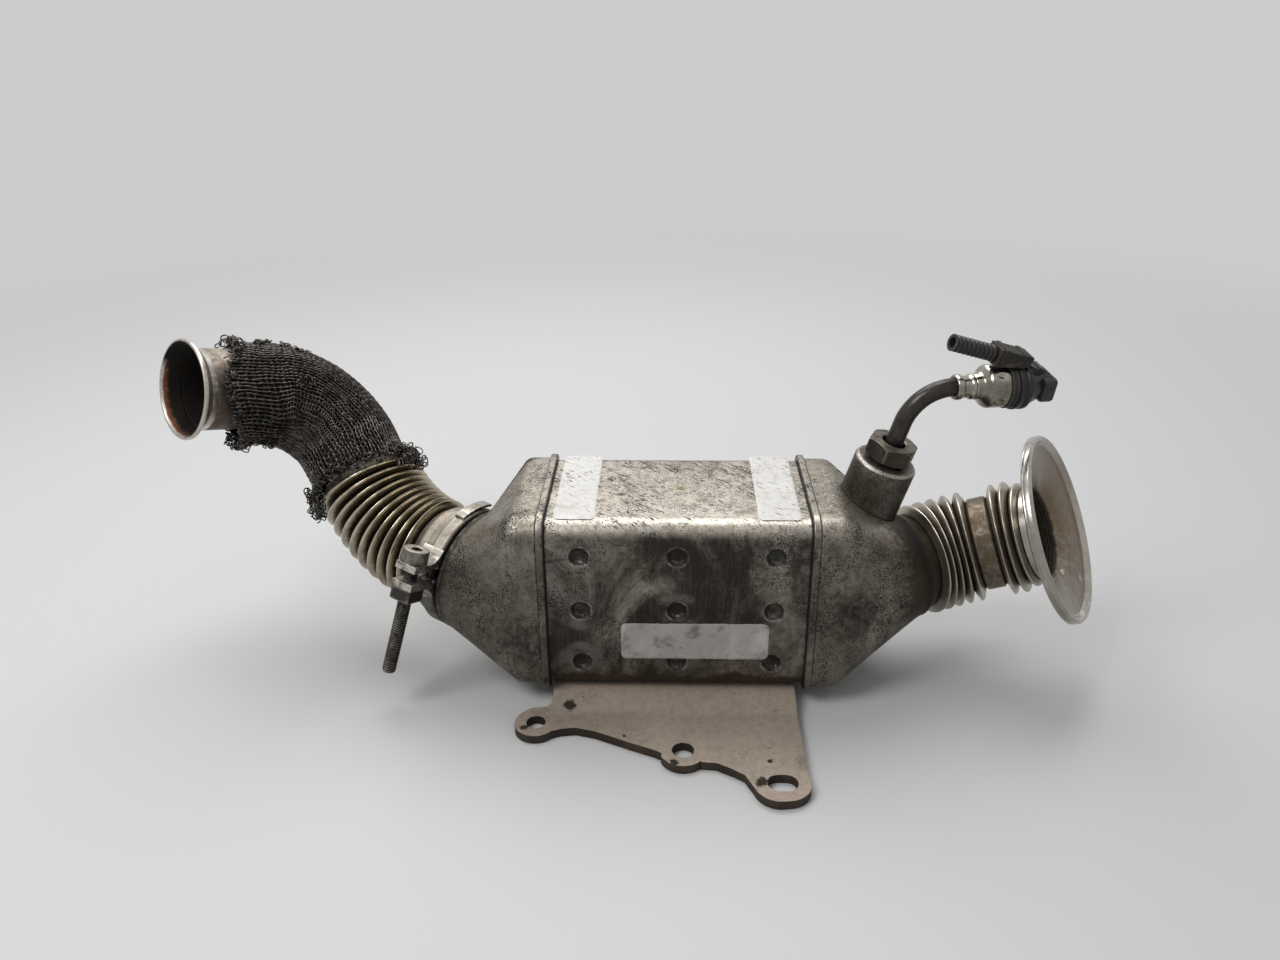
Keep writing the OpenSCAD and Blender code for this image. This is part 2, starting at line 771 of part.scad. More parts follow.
module harness_plug() {
    color("Black") place() stem_end_at() {
        translate([0, 0, harness_z]) cylinder(r = plug_collar_r, h = plug_collar_l);
        plug_taper();
        translate([-cap_h / 2, -cap_w / 2, cap_z]) cube([cap_h, cap_w, cap_l]);
    }
}

// Latch along the taper, from the collar to the end cap
module plug_latch() {
    color("Black") place() stem_end_at() difference() {
        translate([0, latch_w / 2, 0]) rotate([90, 0, 0]) linear_extrude(latch_w) polygon([
            [-plug_collar_r, taper_z],
            [-cap_h / 2, taper_z],
            [-cap_h / 2, cap_z],
            [-cap_h / 2 - latch_t, cap_z]
        ]);
        plug_taper();
    }
}

module clip_at() {
    stem_end_at() translate([-plug_collar_r - conduit_out, 0, harness_z - clip_back])
        rotate([0, conduit_tilt, 0]) children();
}

// Clip that holds the conduit, hollowed to sit on the plug collar
module conduit_clip() {
    color("SaddleBrown") place() difference() {
        clip_at() linear_extrude(clip_l) polygon(rounded(clip_h, clip_w, clip_r));
        stem_end_at() cylinder(r = plug_d / 2 + clip_gap, h = harness_z);
        stem_end_at() translate([0, 0, harness_z - 1]) cylinder(r = plug_collar_r, h = plug_collar_l + 1);
    }
}

module conduit_stub() {
    r = conduit_d / 2;
    color("Black") place() clip_at() translate([0, 0, -conduit_l]) rotate_extrude() polygon(concat(
        [[r - conduit_wall, 0]],
        [for (k = [0 : conduit_grooves]) [r - (k % 2) * conduit_groove, k * conduit_l / conduit_grooves]],
        [[r - conduit_wall, conduit_l]]
    ));
}

module inlet_neck() {
    color("DimGray") place() inlet_at() difference() {
        cylinder(r1 = inlet_ring_r - neck_step, r2 = inlet_tube_r + neck_end, h = inlet_neck_l);
        translate([0, 0, -1]) cylinder(r = inlet_bore_r, h = inlet_neck_l + 2);
    }
}

// Path of the inlet bellows at length s
function inlet_angle(s) =
    s < inlet_arc_1 ? s / inlet_arc_1 * inlet_bend_1
    : s < inlet_second ? inlet_bend_1
    : inlet_bend_1 + (s - inlet_second) / inlet_arc_2 * inlet_bend_2;
function inlet_centre_at(s) = let (
    a = min(inlet_angle(s), inlet_bend_1),
    b = inlet_angle(s) - a,
    run = max(0, min(s - inlet_arc_1, inlet_sleeve_l))
)
    [inlet_rad_1 * (1 - cos(a)), 0, inlet_rad_1 * sin(a)]
    + turn_y([inlet_rad_2 * (1 - cos(b)), 0, run + inlet_rad_2 * sin(b)], inlet_bend_1);
// Length and radius of each ring of the inlet bellows
inlet_rows = concat(
    [for (k = [0 : inlet_waves_1 - 1]) for (u = [0, 0.22, 0.5, 0.78])
        [(k + u) * inlet_arc_1 / inlet_waves_1, wave_r(u, inlet_tube_r, wave_h)]],
    [[inlet_arc_1, inlet_tube_r]],
    [for (k = [0 : inlet_waves_2 - 1]) for (u = [0, 0.22, 0.5, 0.78])
        [inlet_second + (k + u) * inlet_arc_2 / inlet_waves_2, wave_r(u, inlet_tube_r, wave_h)]],
    [[inlet_second + inlet_arc_2, inlet_tube_r]]
);

module inlet_bellows() {
    n = bellows_around;
    color("LightGray") place() inlet_bend_at() polyhedron(
        points = concat(
            [for (p = inlet_rows) for (j = [0 : n - 1])
                ring_point(inlet_centre_at(p[0]), inlet_angle(p[0]), p[1], j * 360 / n)],
            [for (p = inlet_rows) for (j = [0 : n - 1])
                ring_point(inlet_centre_at(p[0]), inlet_angle(p[0]), p[1] - bellows_wall, j * 360 / n)]
        ),
        faces = wall_faces(n, len(inlet_rows) - 1, len(inlet_rows) - 1),
        convexity = 10
    );
}

module inlet_flange() {
    t = inlet_flange_t;
    front = inlet_hub_l - inlet_dish;
    back = front - t;
    lip_back = inlet_hub_l - inlet_lip_w;
    color("WhiteSmoke") place() inlet_hub_at() rotate_extrude() polygon([
        [inlet_bore_r, 0],
        [inlet_bore_r + t, 0],
        [inlet_bore_r + t, back - 1.5 * t],
        [inlet_bore_r + 2 * t, back],
        [inlet_flange_r - inlet_lip_slope - 1.5 * t, back],
        [inlet_flange_r - 1.5 * t, lip_back],
        [inlet_flange_r, lip_back + t / 2],
        [inlet_flange_r, inlet_hub_l - 0.4 * t],
        [inlet_flange_r - 0.4 * t, inlet_hub_l],
        [inlet_flange_r - t, inlet_hub_l],
        [inlet_flange_r - t - inlet_lip_slope, front],
        [inlet_bore_r + t, front],
        [inlet_bore_r, back - 0.75 * t]
    ]);
}

module clamp_band() {
    color("DarkKhaki") place() clamp_at() difference() {
        union() {
            rotate_extrude() polygon([
                [collar_r + 1, band_gap],
                [band_out - 1, band_gap],
                [band_out, band_gap + 1],
                [band_out, band_bend_z + 0.6],
                [cuff_r + band_t, band_bend_z + band_t],
                [cuff_r + band_t, band_end_z],
                [cuff_r, band_end_z],
                [cuff_r, band_bend_z],
                [band_in, band_bend_z],
                [band_in, lip_z],
                [collar_r + 1, lip_z]
            ]);
            for (s = [0, 1])
                translate([band_in + 0.5, s == 0 ? ear_gap / 2 : -ear_gap / 2 - ear_t, band_gap])
                    cube([ear_top - band_in - 0.5, ear_t, band_bend_z - band_gap]);
        }
        translate([collar_r - 5, -ear_gap / 2, 0]) cube([ear_top, ear_gap, band_end_z + 1]);
        translate([screw_x, 0, ear_z]) rotate([90, 0, 0])
            cylinder(d = screw_d + 2 * screw_gap, h = screw_l, center = true);
    }
}

module clamp_tongue() {
    color("DarkKhaki") place() clamp_at() rotate([0, 0, 60]) rotate_extrude(angle = 40)
        translate([band_out, band_gap + 1]) square([band_t, band_bend_z - band_gap - 0.4]);
}

module clamp_screw() {
    color("DimGray") place() clamp_at() translate([screw_x, ear_gap / 2 + ear_t, ear_z]) rotate([90, 0, 0])
        difference() {
            union() {
                translate([0, 0, -head_h]) cylinder(d = head_d, h = head_h);
                cylinder(d = screw_d, h = screw_l);
            }
            translate([0, 0, -head_h - 1]) cylinder(d = screw_d - 0.8, h = 4, $fn = 6);
        }
}

module clamp_trunnion() {
    color("DimGray") place() clamp_at()
        translate([screw_x, -ear_gap / 2 - ear_t, ear_z]) rotate([90, 0, 0]) difference() {
            translate([-trunnion_w / 2, -trunnion_w / 2, 0]) cube([trunnion_w, trunnion_w, trunnion_h]);
            translate([0, 0, -1]) cylinder(d = screw_d, h = trunnion_h + 2);
        }
}

module joint_gasket() {
    color("Black") place() outlet_at() translate([0, 0, gasket_z]) difference() {
        cylinder(r = lip_r, h = gasket_t);
        translate([0, 0, -1]) cylinder(r = outlet_bore_r, h = gasket_t + 2);
    }
}

module outlet_cuff() {
    color("Gray") place() outlet_at() difference() {
        union() {
            translate([0, 0, cuff_z]) cylinder(r = lip_r, h = lip_t);
            translate([0, 0, cuff_z]) cylinder(r = cuff_r, h = cuff_l - cuff_z);
        }
        cylinder(r = outlet_bore_r, h = cuff_l + 1);
    }
}

// Length and radius of each ring of the outlet bellows
outlet_rows = concat(
    [for (k = [0 : outlet_waves - 1]) for (u = [0, 0.22, 0.5, 0.78])
        [(k + u) / outlet_waves, wave_r(u, outlet_tube_r, wave_h - 0.4)]],
    [[1, outlet_tube_r]]
);
function outlet_centre_at(u) = [
    outlet_rad_1 * (1 - cos(u * outlet_bend_1)),
    0,
    outlet_rad_1 * sin(u * outlet_bend_1)
];

module outlet_bellows() {
    n = bellows_around;
    color("Peru") place() outlet_bend_at() polyhedron(
        points = concat(
            [for (p = outlet_rows) for (j = [0 : n - 1])
                ring_point(outlet_centre_at(p[0]), p[0] * outlet_bend_1, p[1], j * 360 / n)],
            [for (p = outlet_rows) for (j = [0 : n - 1])
                ring_point(outlet_centre_at(p[0]), p[0] * outlet_bend_1, p[1] - bellows_wall, j * 360 / n)]
        ),
        faces = wall_faces(n, len(outlet_rows) - 1, len(outlet_rows) - 1),
        convexity = 10
    );
}

module elbow_lead_pipe() {
    color("Gray") place() elbow_at() rotate_extrude() polygon([
        [pipe_r - pipe_wall, 0],
        [outlet_tube_r, 0],
        [outlet_tube_r, elbow_collar_l],
        [pipe_r, elbow_collar_l],
        [pipe_r, elbow_lead],
        [pipe_r - pipe_wall, elbow_lead]
    ]);
}

module elbow_pipe() {
    color("Gray") place() elbow_at() translate([elbow_rad, 0, elbow_lead])
        rotate([90, 0, 0]) mirror([1, 0, 0])
            rotate_extrude(angle = elbow_bend, $fn = 96) translate([elbow_rad, 0]) difference() {
                circle(r = pipe_r);
                circle(r = pipe_r - pipe_wall);
            }
}

module tail_pipe() {
    color("Gray") place() tail_at() difference() {
        cylinder(r = pipe_r, h = tail_l);
        translate([0, 0, -1]) cylinder(r = pipe_r - pipe_wall, h = tail_l + 2);
    }
}

// Bend angle of the sleeve path at length s from the elbow start
function knit_angle(s) =
    s < elbow_lead ? 0 : min(elbow_bend, (s - elbow_lead) / elbow_rad * 180 / PI);
function knit_rest(s) = max(0, s - elbow_lead - elbow_arc);
function knit_centre(s) = [
    elbow_rad * (1 - cos(knit_angle(s))) + knit_rest(s) * sin(elbow_bend),
    0,
    min(s, elbow_lead) + elbow_rad * sin(knit_angle(s)) + knit_rest(s) * cos(elbow_bend)
];
// Length along the path of ring i at angle t, with the far end drawn askew
function knit_step(i, rows, t) = elbow_collar_l + i * knit_len / rows
    + knit_skew * pow(i / rows, 4) * (2 * pow(max(0, cos(t - knit_skew_at)), 2) - 0.8);
// Bulge of the slack on the inside of the bend
function knit_bulge(u, t) = knit_slack * (0.6 + 0.4 * sin(180 * u)) * pow(max(0, cos(t)), 2);
function knit_point(i, rows, t, r) = let (s = knit_step(i, rows, t))
    ring_point(knit_centre(s), knit_angle(s), r, t);

// Knitted wire sleeve: stitch ridges on one closed wall
module mesh_sleeve() {
    n = knit_cols;
    outer = [
        for (i = [0 : knit_rows])
            for (j = [0 : n - 1])
                let (t = j * 360 / n, r = knit_r + knit_bulge(i / knit_rows, t))
                knit_point(i, knit_rows, t, r + ((i + j) % 2 == 0 ? knit_h : 0))
    ];
    inner = [
        for (i = [0 : knit_inner_rows])
            for (j = [0 : n - 1])
                knit_point(i, knit_inner_rows, j * 360 / n, knit_in / cos(180 / n))
    ];
    color("Black") place() elbow_at() polyhedron(
        points = concat(outer, inner),
        faces = wall_faces(n, knit_rows, knit_inner_rows),
        convexity = 6
    );
}

// Flared mouth that carries the end flange
module outlet_flange() {
    w = outlet_flange_w;
    lip = outlet_lip_w;
    color("WhiteSmoke") place() tail_at() translate([0, 0, elbow_tail - w]) rotate_extrude() polygon([
        [pipe_r - pipe_wall, 0],
        [pipe_r, 0],
        [pipe_r + 0.4 * pipe_wall, w - 3 * lip],
        [outlet_flange_r - 0.75 * lip, w - 1.5 * lip],
        [outlet_flange_r, w - lip],
        [outlet_flange_r, w - lip / 4],
        [outlet_flange_r - lip / 4, w],
        [outlet_flange_r - pipe_wall, w],
        [pipe_r - pipe_wall, lip / 2]
    ]);
}

module bracket() {
    y0 = bend_y - 1;
    color("Tan") place() difference() {
        union() {
            translate([bracket_left, 0, 0]) rotate([90, 0, 90]) linear_extrude(bracket_l) polygon([
                [y0, 0],
                [bend_y, 0],
                [flange_y, seat_top - plate_t],
                [flange_y + foot_l, seat_top - plate_t],
                [flange_y + foot_l, seat_top],
                [flange_y, seat_top],
                [bend_y, plate_t],
                [y0, plate_t]
            ]);
            linear_extrude(plate_t) polygon([
                [bracket_left, y0 + 0.5],
                [hole_left_x, hole_left_y + lobe_left_r],
                [hole_left_x, hole_left_y - lobe_left_r],
                [hole_left_x + lobe_left_r + 4.3, hole_left_y - 3],
                [hole_left_x + 25, hole_left_y - 5.4],
                [hole_mid_x - 21.1, hole_mid_y + 4],
                [hole_mid_x - lobe_mid_r - 1.6, hole_mid_y - 0.3],
                [hole_mid_x - lobe_mid_r + 1, hole_mid_y - 3],
                [hole_mid_x, hole_mid_y - lobe_mid_r],
                [hole_mid_x + 5, hole_mid_y - 7.7],
                [hole_mid_x + lobe_mid_r + 3, hole_mid_y - 6.9],
                [slot_x - 18.6, slot_y + 7.3],
                [slot_x - slot_l / 2 - 8.4, slot_y + 4.4],
                [slot_x - slot_l / 2 - 4, slot_y - 3],
                [slot_x, slot_y - lobe_slot_r],
                [slot_x + slot_l / 2 + 4, slot_y],
                [bracket_right, y0 + 0.5]
            ]);
            translate([hole_left_x, hole_left_y, 0]) cylinder(r = lobe_left_r, h = plate_t);
            translate([hole_mid_x, hole_mid_y, 0]) cylinder(r = lobe_mid_r, h = plate_t);
            for (s = [-1, 1])
                translate([slot_x + s * (slot_l - slot_w) / 2, slot_y, 0])
                    cylinder(r = lobe_slot_r, h = plate_t);
        }
        translate([hole_left_x, hole_left_y, -1]) cylinder(d = hole_left_d, h = plate_t + 2);
        translate([hole_mid_x, hole_mid_y, -1]) cylinder(d = hole_mid_d, h = plate_t + 2);
        for (s = [-1, 1])
            translate([slot_x + s * (slot_l - slot_w) / 2, slot_y, -1])
                cylinder(d = slot_w, h = plate_t + 2);
        translate([slot_x - (slot_l - slot_w) / 2, slot_y - slot_w / 2, -1])
            cube([slot_l - slot_w, slot_w, plate_t + 2]);
    }
}

core_case();
header_inlet();
header_outlet();
gas_tube(0);  // gas_tube_1
gas_tube(1);  // gas_tube_2
gas_tube(2);  // gas_tube_3
gas_tube(3);  // gas_tube_4
gas_tube(4);  // gas_tube_5
gas_tube(5);  // gas_tube_6
gas_tube(6);  // gas_tube_7
fin(0);  // fin_1
fin(1);  // fin_2
fin(2);  // fin_3
fin(3);  // fin_4
fin(4);  // fin_5
fin(5);  // fin_6
fin(6);  // fin_7
inlet_diffuser();
outlet_diffuser();
coolant_inlet_pipe();
coolant_outlet_pipe();
sensor_boss();
sensor_nut();
sensor_probe();
sensor_stem();
stem_ferrule();
plug_sleeve();
plug_seal();
harness_plug();
plug_latch();
conduit_clip();
conduit_stub();
inlet_neck();
inlet_bellows();
inlet_flange();
clamp_band();
clamp_tongue();
clamp_screw();
clamp_trunnion();
joint_gasket();
outlet_collar();
outlet_cuff();
outlet_bellows();
elbow_lead_pipe();
elbow_pipe();
tail_pipe();
mesh_sleeve();
outlet_flange();
bracket();
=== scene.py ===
import math
import random

import bmesh
import bpy
from mathutils import Matrix, Vector, noise
from mathutils.bvhtree import BVHTree


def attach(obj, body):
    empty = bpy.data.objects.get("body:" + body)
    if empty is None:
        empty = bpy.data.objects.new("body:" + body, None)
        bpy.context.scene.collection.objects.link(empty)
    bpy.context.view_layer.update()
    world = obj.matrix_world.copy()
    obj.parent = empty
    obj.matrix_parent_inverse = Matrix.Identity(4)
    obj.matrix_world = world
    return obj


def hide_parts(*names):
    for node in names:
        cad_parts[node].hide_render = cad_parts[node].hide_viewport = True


noise.seed_set(7)  # so that the noise is the same in every run
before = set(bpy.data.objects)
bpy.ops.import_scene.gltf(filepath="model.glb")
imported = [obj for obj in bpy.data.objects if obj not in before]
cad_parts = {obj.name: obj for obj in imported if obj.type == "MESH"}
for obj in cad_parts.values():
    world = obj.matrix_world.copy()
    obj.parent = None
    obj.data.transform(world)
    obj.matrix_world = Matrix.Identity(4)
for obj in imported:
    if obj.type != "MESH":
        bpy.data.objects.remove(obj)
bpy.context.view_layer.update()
print("frame loaded:", len(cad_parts), "nodes")

mm = 0.001
scene = bpy.context.scene
scene.view_settings.view_transform = "Standard"


# places along the part, in millimetres
def turn(axis, degrees):
    return Matrix.Rotation(math.radians(degrees), 4, axis)


def shift(x, y, z):
    return Matrix.Translation((x, y, z))


def bendStep(radius, degrees):
    return shift(radius, 0, 0) @ turn("Y", degrees) @ shift(-radius, 0, 0)


def ease(value, low, high):
    u = min(1.0, max(0.0, (value - low) / (high - low)))
    return u * u * (3 - 2 * u)


def band(value, low, lowFull, highFull, high):  # rises, stays and falls again
    return ease(value, low, lowFull) * (1 - ease(value, highFull, high))


coolerBody = {
    "length": 115.0, "rimDepth": 77.0, "rimHeight": 84.0, "rimRound": 10.0, "headerThick": 3.0,
    "caseDepth": 72.0, "caseHeight": 79.0, "caseRound": 8.5, "middleZ": 47.0,
    "portX": 20.1, "portZ": 12.8, "portSeat": 34.5, "ripple": (26.0, 0.10),
}
inletRun = {
    "ring": (100.2, 1.1, 48.9), "yaw": 22.6, "pitch": 5.6, "neck": 6.4, "roll": -117.8,
    "bend1": 36.1, "radius1": 45.2, "sleeve": 9.2, "bend2": 14.4, "radius2": 62.5,
}
outletRun = {
    "ring": (-90.0, -1.5, 46.5), "yaw": 29.0, "pitch": 6.5, "cuff": 21.0, "roll": -157.6,
    "bend": 42.0, "radius": 72.4, "elbowRoll": -105.6, "lead": 18.0, "elbow": 85.4,
    "elbowRadius": 36.75, "tail": 29.0,
}
sensorRun = {
    "bossTop": (88.3, 0.0, 100.4), "lean": 15.0, "front": 6.0, "roll": 14.5, "nutTop": 9.2,
    "rise": 9.6, "bend": 79.0, "radius": 19.0, "clipShift": (-15.05, 0, 13.7), "clipTilt": 16.0,
}
clampTurn = 110.0

caseAt = shift(-2.5, 71.5, 0)
caseBack = caseAt.inverted()
inletAt = (caseAt @ shift(*inletRun["ring"]) @ turn("Z", inletRun["yaw"])
           @ turn("Y", 90 - inletRun["pitch"]))
inletBendAt = inletAt @ shift(0, 0, inletRun["neck"]) @ turn("Z", inletRun["roll"])
inletHubAt = (inletBendAt @ bendStep(inletRun["radius1"], inletRun["bend1"])
              @ shift(0, 0, inletRun["sleeve"]) @ bendStep(inletRun["radius2"], inletRun["bend2"]))
outletAt = (caseAt @ shift(*outletRun["ring"]) @ turn("Z", 180 - outletRun["yaw"])
            @ turn("Y", 90 - outletRun["pitch"]))
outletBendAt = outletAt @ shift(0, 0, outletRun["cuff"]) @ turn("Z", outletRun["roll"])
elbowAt = (outletBendAt @ bendStep(outletRun["radius"], outletRun["bend"])
           @ turn("Z", outletRun["elbowRoll"]))
tailAt = (elbowAt @ shift(0, 0, outletRun["lead"])
          @ bendStep(outletRun["elbowRadius"], outletRun["elbow"]))
bossAt = (caseAt @ shift(*sensorRun["bossTop"]) @ turn("Y", sensorRun["lean"])
          @ turn("X", sensorRun["front"]))
stemBendAt = bossAt @ turn("Z", sensorRun["roll"]) @ shift(0, 0, sensorRun["nutTop"] + sensorRun["rise"])
stemEndAt = stemBendAt @ bendStep(sensorRun["radius"], sensorRun["bend"])
clipAt = stemEndAt @ shift(*sensorRun["clipShift"]) @ turn("Y", sensorRun["clipTilt"])
clampAt = outletAt @ turn("Z", clampTurn)


# camera as the photograph was taken
photoCamera = {
    "place": (-0.0064, -0.3325, 0.2810), "right": (0.99966, 0.02635, -0.00773),
    "up": (-0.00425, 0.42664, 0.90445), "ahead": (-0.02715, 0.90404, -0.42657),
    "lens": 29.25, "sensor": 36.0,
}


def addCamera(spec):
    right, up, ahead = (Vector(spec[k]).normalized() for k in ("right", "up", "ahead"))
    lens = bpy.data.cameras.new("photoCamera")
    lens.lens, lens.sensor_width, lens.sensor_fit = spec["lens"], spec["sensor"], "HORIZONTAL"
    lens.clip_start = 0.01
    camera = bpy.data.objects.new("photoCamera", lens)
    scene.collection.objects.link(camera)
    facing = Matrix((right, up, -ahead)).transposed().to_4x4()
    camera.matrix_world = Matrix.Translation(spec["place"]) @ facing
    scene.camera = camera


addCamera(photoCamera)
print("camera set")


# shader helpers
def addNode(tree, kind, settings=None, values=None):
    node = tree.nodes.new(kind)
    for key, value in (settings or {}).items():
        setattr(node, key, value)
    for key, value in (values or {}).items():
        node.inputs[key].default_value = value
    return node


def newGroup(name, inputs, outputs):
    group = bpy.data.node_groups.new(name, "ShaderNodeTree")
    for label, value in inputs.items():
        kind = "NodeSocketVector" if isinstance(value, tuple) else "NodeSocketFloat"
        group.interface.new_socket(name=label, in_out="INPUT", socket_type=kind).default_value = value
    for label in outputs:
        group.interface.new_socket(name=label, in_out="OUTPUT", socket_type="NodeSocketFloat")
    return group, addNode(group, "NodeGroupInput").outputs, addNode(group, "NodeGroupOutput").inputs


def objectPlace(tree, stretch=None):
    place = addNode(tree, "ShaderNodeTexCoord").outputs["Object"]
    if stretch is None:
        return place
    mapping = addNode(tree, "ShaderNodeMapping", values={"Scale": stretch})
    tree.links.new(place, mapping.inputs["Vector"])
    return mapping.outputs["Vector"]


def feed(tree, value, socket):
    if isinstance(value, (int, float)):
        socket.default_value = value
    else:
        tree.links.new(value, socket)


mathSigns = {"+": "ADD", "-": "SUBTRACT", "*": "MULTIPLY", "/": "DIVIDE", "max": "MAXIMUM"}


def sums(tree, a, sign, b):
    node = addNode(tree, "ShaderNodeMath", {"operation": mathSigns[sign]})
    feed(tree, a, node.inputs[0])
    feed(tree, b, node.inputs[1])
    return node.outputs["Value"]


def weigh(tree, a, share, b):
    return sums(tree, sums(tree, a, "*", share), "+", sums(tree, b, "*", 1 - share))


def threshold(tree, value, low, high):
    step = addNode(tree, "ShaderNodeMapRange", {"interpolation_type": "SMOOTHSTEP"})
    for label, source in (("Value", value), ("From Min", low), ("From Max", high)):
        feed(tree, source, step.inputs[label])
    return step.outputs["Result"]


def amountMask(tree, value, amount, start, span, soft):  # a greater amount lowers the threshold
    low = sums(tree, start, "-", sums(tree, amount, "*", span))
    return threshold(tree, value, low, sums(tree, low, "+", soft))


def blendColour(tree, mask, a, b):
    node = addNode(tree, "ShaderNodeMix", {"data_type": "RGBA"})
    tree.links.new(mask, node.inputs["Factor"])
    for label, value in (("A", a), ("B", b)):
        socket = next(s for s in node.inputs if s.name == label and s.type == "RGBA")
        if isinstance(value, tuple):
            socket.default_value = (*value, 1.0)
        else:
            tree.links.new(value, socket)
    return next(s for s in node.outputs if s.type == "RGBA")


def noiseValue(tree, place, scale, detail=4.0, rough=0.55, twist=0.0):
    shape = {"Detail": detail, "Roughness": rough, "Distortion": twist}
    node = addNode(tree, "ShaderNodeTexNoise", values=shape)
    feed(tree, scale, node.inputs["Scale"])
    tree.links.new(place, node.inputs["Vector"])
    return node.outputs["Fac"]


def facingUp(tree, low, high):
    normal = addNode(tree, "ShaderNodeNewGeometry").outputs["Normal"]
    split = addNode(tree, "ShaderNodeSeparateXYZ")
    tree.links.new(normal, split.inputs["Vector"])
    return threshold(tree, split.outputs["Z"], low, high)


# oil specks that cluster in patches
def buildSpecks():
    group, given, result = newGroup("oilSpecks", {"Scale": 1500.0, "Amount": 0.5}, ["Mask"])
    place = objectPlace(group)
    fine = noiseValue(group, place, given["Scale"], 5.0, 0.65)
    patch = noiseValue(group, place, 60.0, 6.0, 0.62, 0.8)
    both = weigh(group, fine, 0.66, patch)
    group.links.new(amountMask(group, both, given["Amount"], 0.70, 0.22, 0.05), result["Mask"])
    return group


# broad stains that run down the sheet
def buildStains():
    group, given, result = newGroup("oldStains", {"Scale": 30.0, "Amount": 0.5}, ["Mask", "Tone"])
    blot = noiseValue(group, objectPlace(group, (1.0, 1.0, 0.55)), given["Scale"], 7.0, 0.62, 1.4)
    group.links.new(amountMask(group, blot, given["Amount"], 0.68, 0.36, 0.22), result["Mask"])
    group.links.new(noiseValue(group, objectPlace(group), 14.0, 5.0, 0.6, 0.8), result["Tone"])
    return group


# rubbed corners, and dirt with painted shade darkening the creases
def buildEdgeRub():
    group, given, result = newGroup("edgeRub", {"Rub": 0.5, "CreaseDirtAndShade": 0.5}, ["Bright", "Crease"])
    point = addNode(group, "ShaderNodeNewGeometry").outputs["Pointiness"]
    breakUp = threshold(group, noiseValue(group, objectPlace(group), 260.0, 4.0, 0.6), 0.36, 0.58)
    bright = sums(group, threshold(group, point, 0.505, 0.56), "*", breakUp)
    group.links.new(sums(group, bright, "*", given["Rub"]), result["Bright"])
    # hollows found by pointiness are darkened: dirt and painted shade
    hollow = threshold(group, sums(group, 1.0, "-", point), 0.505, 0.57)
    group.links.new(sums(group, hollow, "*", given["CreaseDirtAndShade"]), result["Crease"])
    return group


# fine grain of rolled or cast skin, and the noise that breaks up painted dirt and painted shade
def buildGrain():
    group, given, result = newGroup("skinGrain", {"Scale": 900.0, "Pits": 0.3},
                                    ["Height", "Mottle", "Break", "Streak"])
    place = objectPlace(group)
    fine = noiseValue(group, place, given["Scale"], 3.0, 0.6)
    wide = noiseValue(group, place, 55.0, 5.0, 0.6, 0.4)
    pit = threshold(group, noiseValue(group, place, 420.0, 2.0, 0.5), 0.60, 0.72)
    rolled = sums(group, sums(group, fine, "*", 0.5), "+", wide)
    group.links.new(sums(group, rolled, "-", sums(group, pit, "*", given["Pits"])), result["Height"])
    group.links.new(wide, result["Mottle"])
    group.links.new(noiseValue(group, place, 330.0, 6.0, 0.7, 0.5), result["Break"])
    upright = objectPlace(group, (1.0, 1.0, 0.05))
    group.links.new(noiseValue(group, upright, 1100.0, 3.0, 0.6), result["Streak"])
    return group


# short scratches dragged slantwise over the upper faces
def buildDrags():
    group, given, result = newGroup("dragMarks", {"Amount": 0.5}, ["Mask"])
    place = objectPlace(group)
    mapping = addNode(group, "ShaderNodeMapping", {"vector_type": "TEXTURE"},
                      {"Rotation": (0, 0, math.radians(-40)), "Scale": (0.0040, 0.0007, 0.0040)})
    group.links.new(place, mapping.inputs["Vector"])
    dash = noiseValue(group, mapping.outputs["Vector"], 1.0, 2.0, 0.5, 0.3)
    patch = noiseValue(group, place, 26.0, 3.0, 0.5, 0.5)
    mask = amountMask(group, weigh(group, dash, 0.7, patch), given["Amount"], 0.70, 0.22, 0.03)
    group.links.new(sums(group, mask, "*", facingUp(group, 0.6, 0.9)), result["Mask"])
    return group


# upright faces darker than the upward ones: painted shade, with an uneven oily film
def buildFilmAndShade():
    group, given, result = newGroup("wallFilmAndShade", {"Cover": 0.9}, ["Mask"])
    wall = sums(group, 1.0, "-", facingUp(group, 0.25, 0.85))
    cloud = noiseValue(group, objectPlace(group, (1.0, 1.0, 0.45)), 34.0, 7.0, 0.66, 1.2)
    uneven = sums(group, sums(group, threshold(group, cloud, 0.30, 0.60), "*", 0.52), "+", 0.48)
    mask = sums(group, wall, "*", uneven)
    group.links.new(sums(group, mask, "*", given["Cover"]), result["Mask"])
    return group


# one ragged blot of oil
def buildBlot():
    group, given, result = newGroup("oilBlot", {"Centre": (0.0, 0.0, 0.0), "Radius": 0.004}, ["Mask"])
    place = objectPlace(group)
    away = addNode(group, "ShaderNodeVectorMath", {"operation": "DISTANCE"})
    group.links.new(place, away.inputs[0])
    group.links.new(given["Centre"], away.inputs[1])
    share = sums(group, away.outputs["Value"], "/", given["Radius"])
    ragged = sums(group, share, "+", sums(group, noiseValue(group, place, 420.0, 5.0, 0.7), "*", 1.6))
    group.links.new(sums(group, 1.0, "-", threshold(group, ragged, 1.25, 1.55)), result["Mask"])
    return group


groups = {"specks": buildSpecks(), "stains": buildStains(), "rub": buildEdgeRub(), "grain": buildGrain(),
          "drags": buildDrags(), "filmAndShade": buildFilmAndShade(), "blot": buildBlot()}


def useGroup(tree, label, values):
    return addNode(tree, "ShaderNodeGroup", {"node_tree": groups[label]}, values).outputs


def blotMask(tree, centre, radius):
    return useGroup(tree, "blot", {"Centre": centre, "Radius": radius})["Mask"]


def paintedMask(tree, label, breakUp):
    painted = addNode(tree, "ShaderNodeAttribute", {"attribute_name": label}).outputs["Fac"]
    ragged = sums(tree, painted, "+", sums(tree, sums(tree, breakUp, "-", 0.5), "*", 0.9))
    return threshold(tree, ragged, 0.20, 0.90)


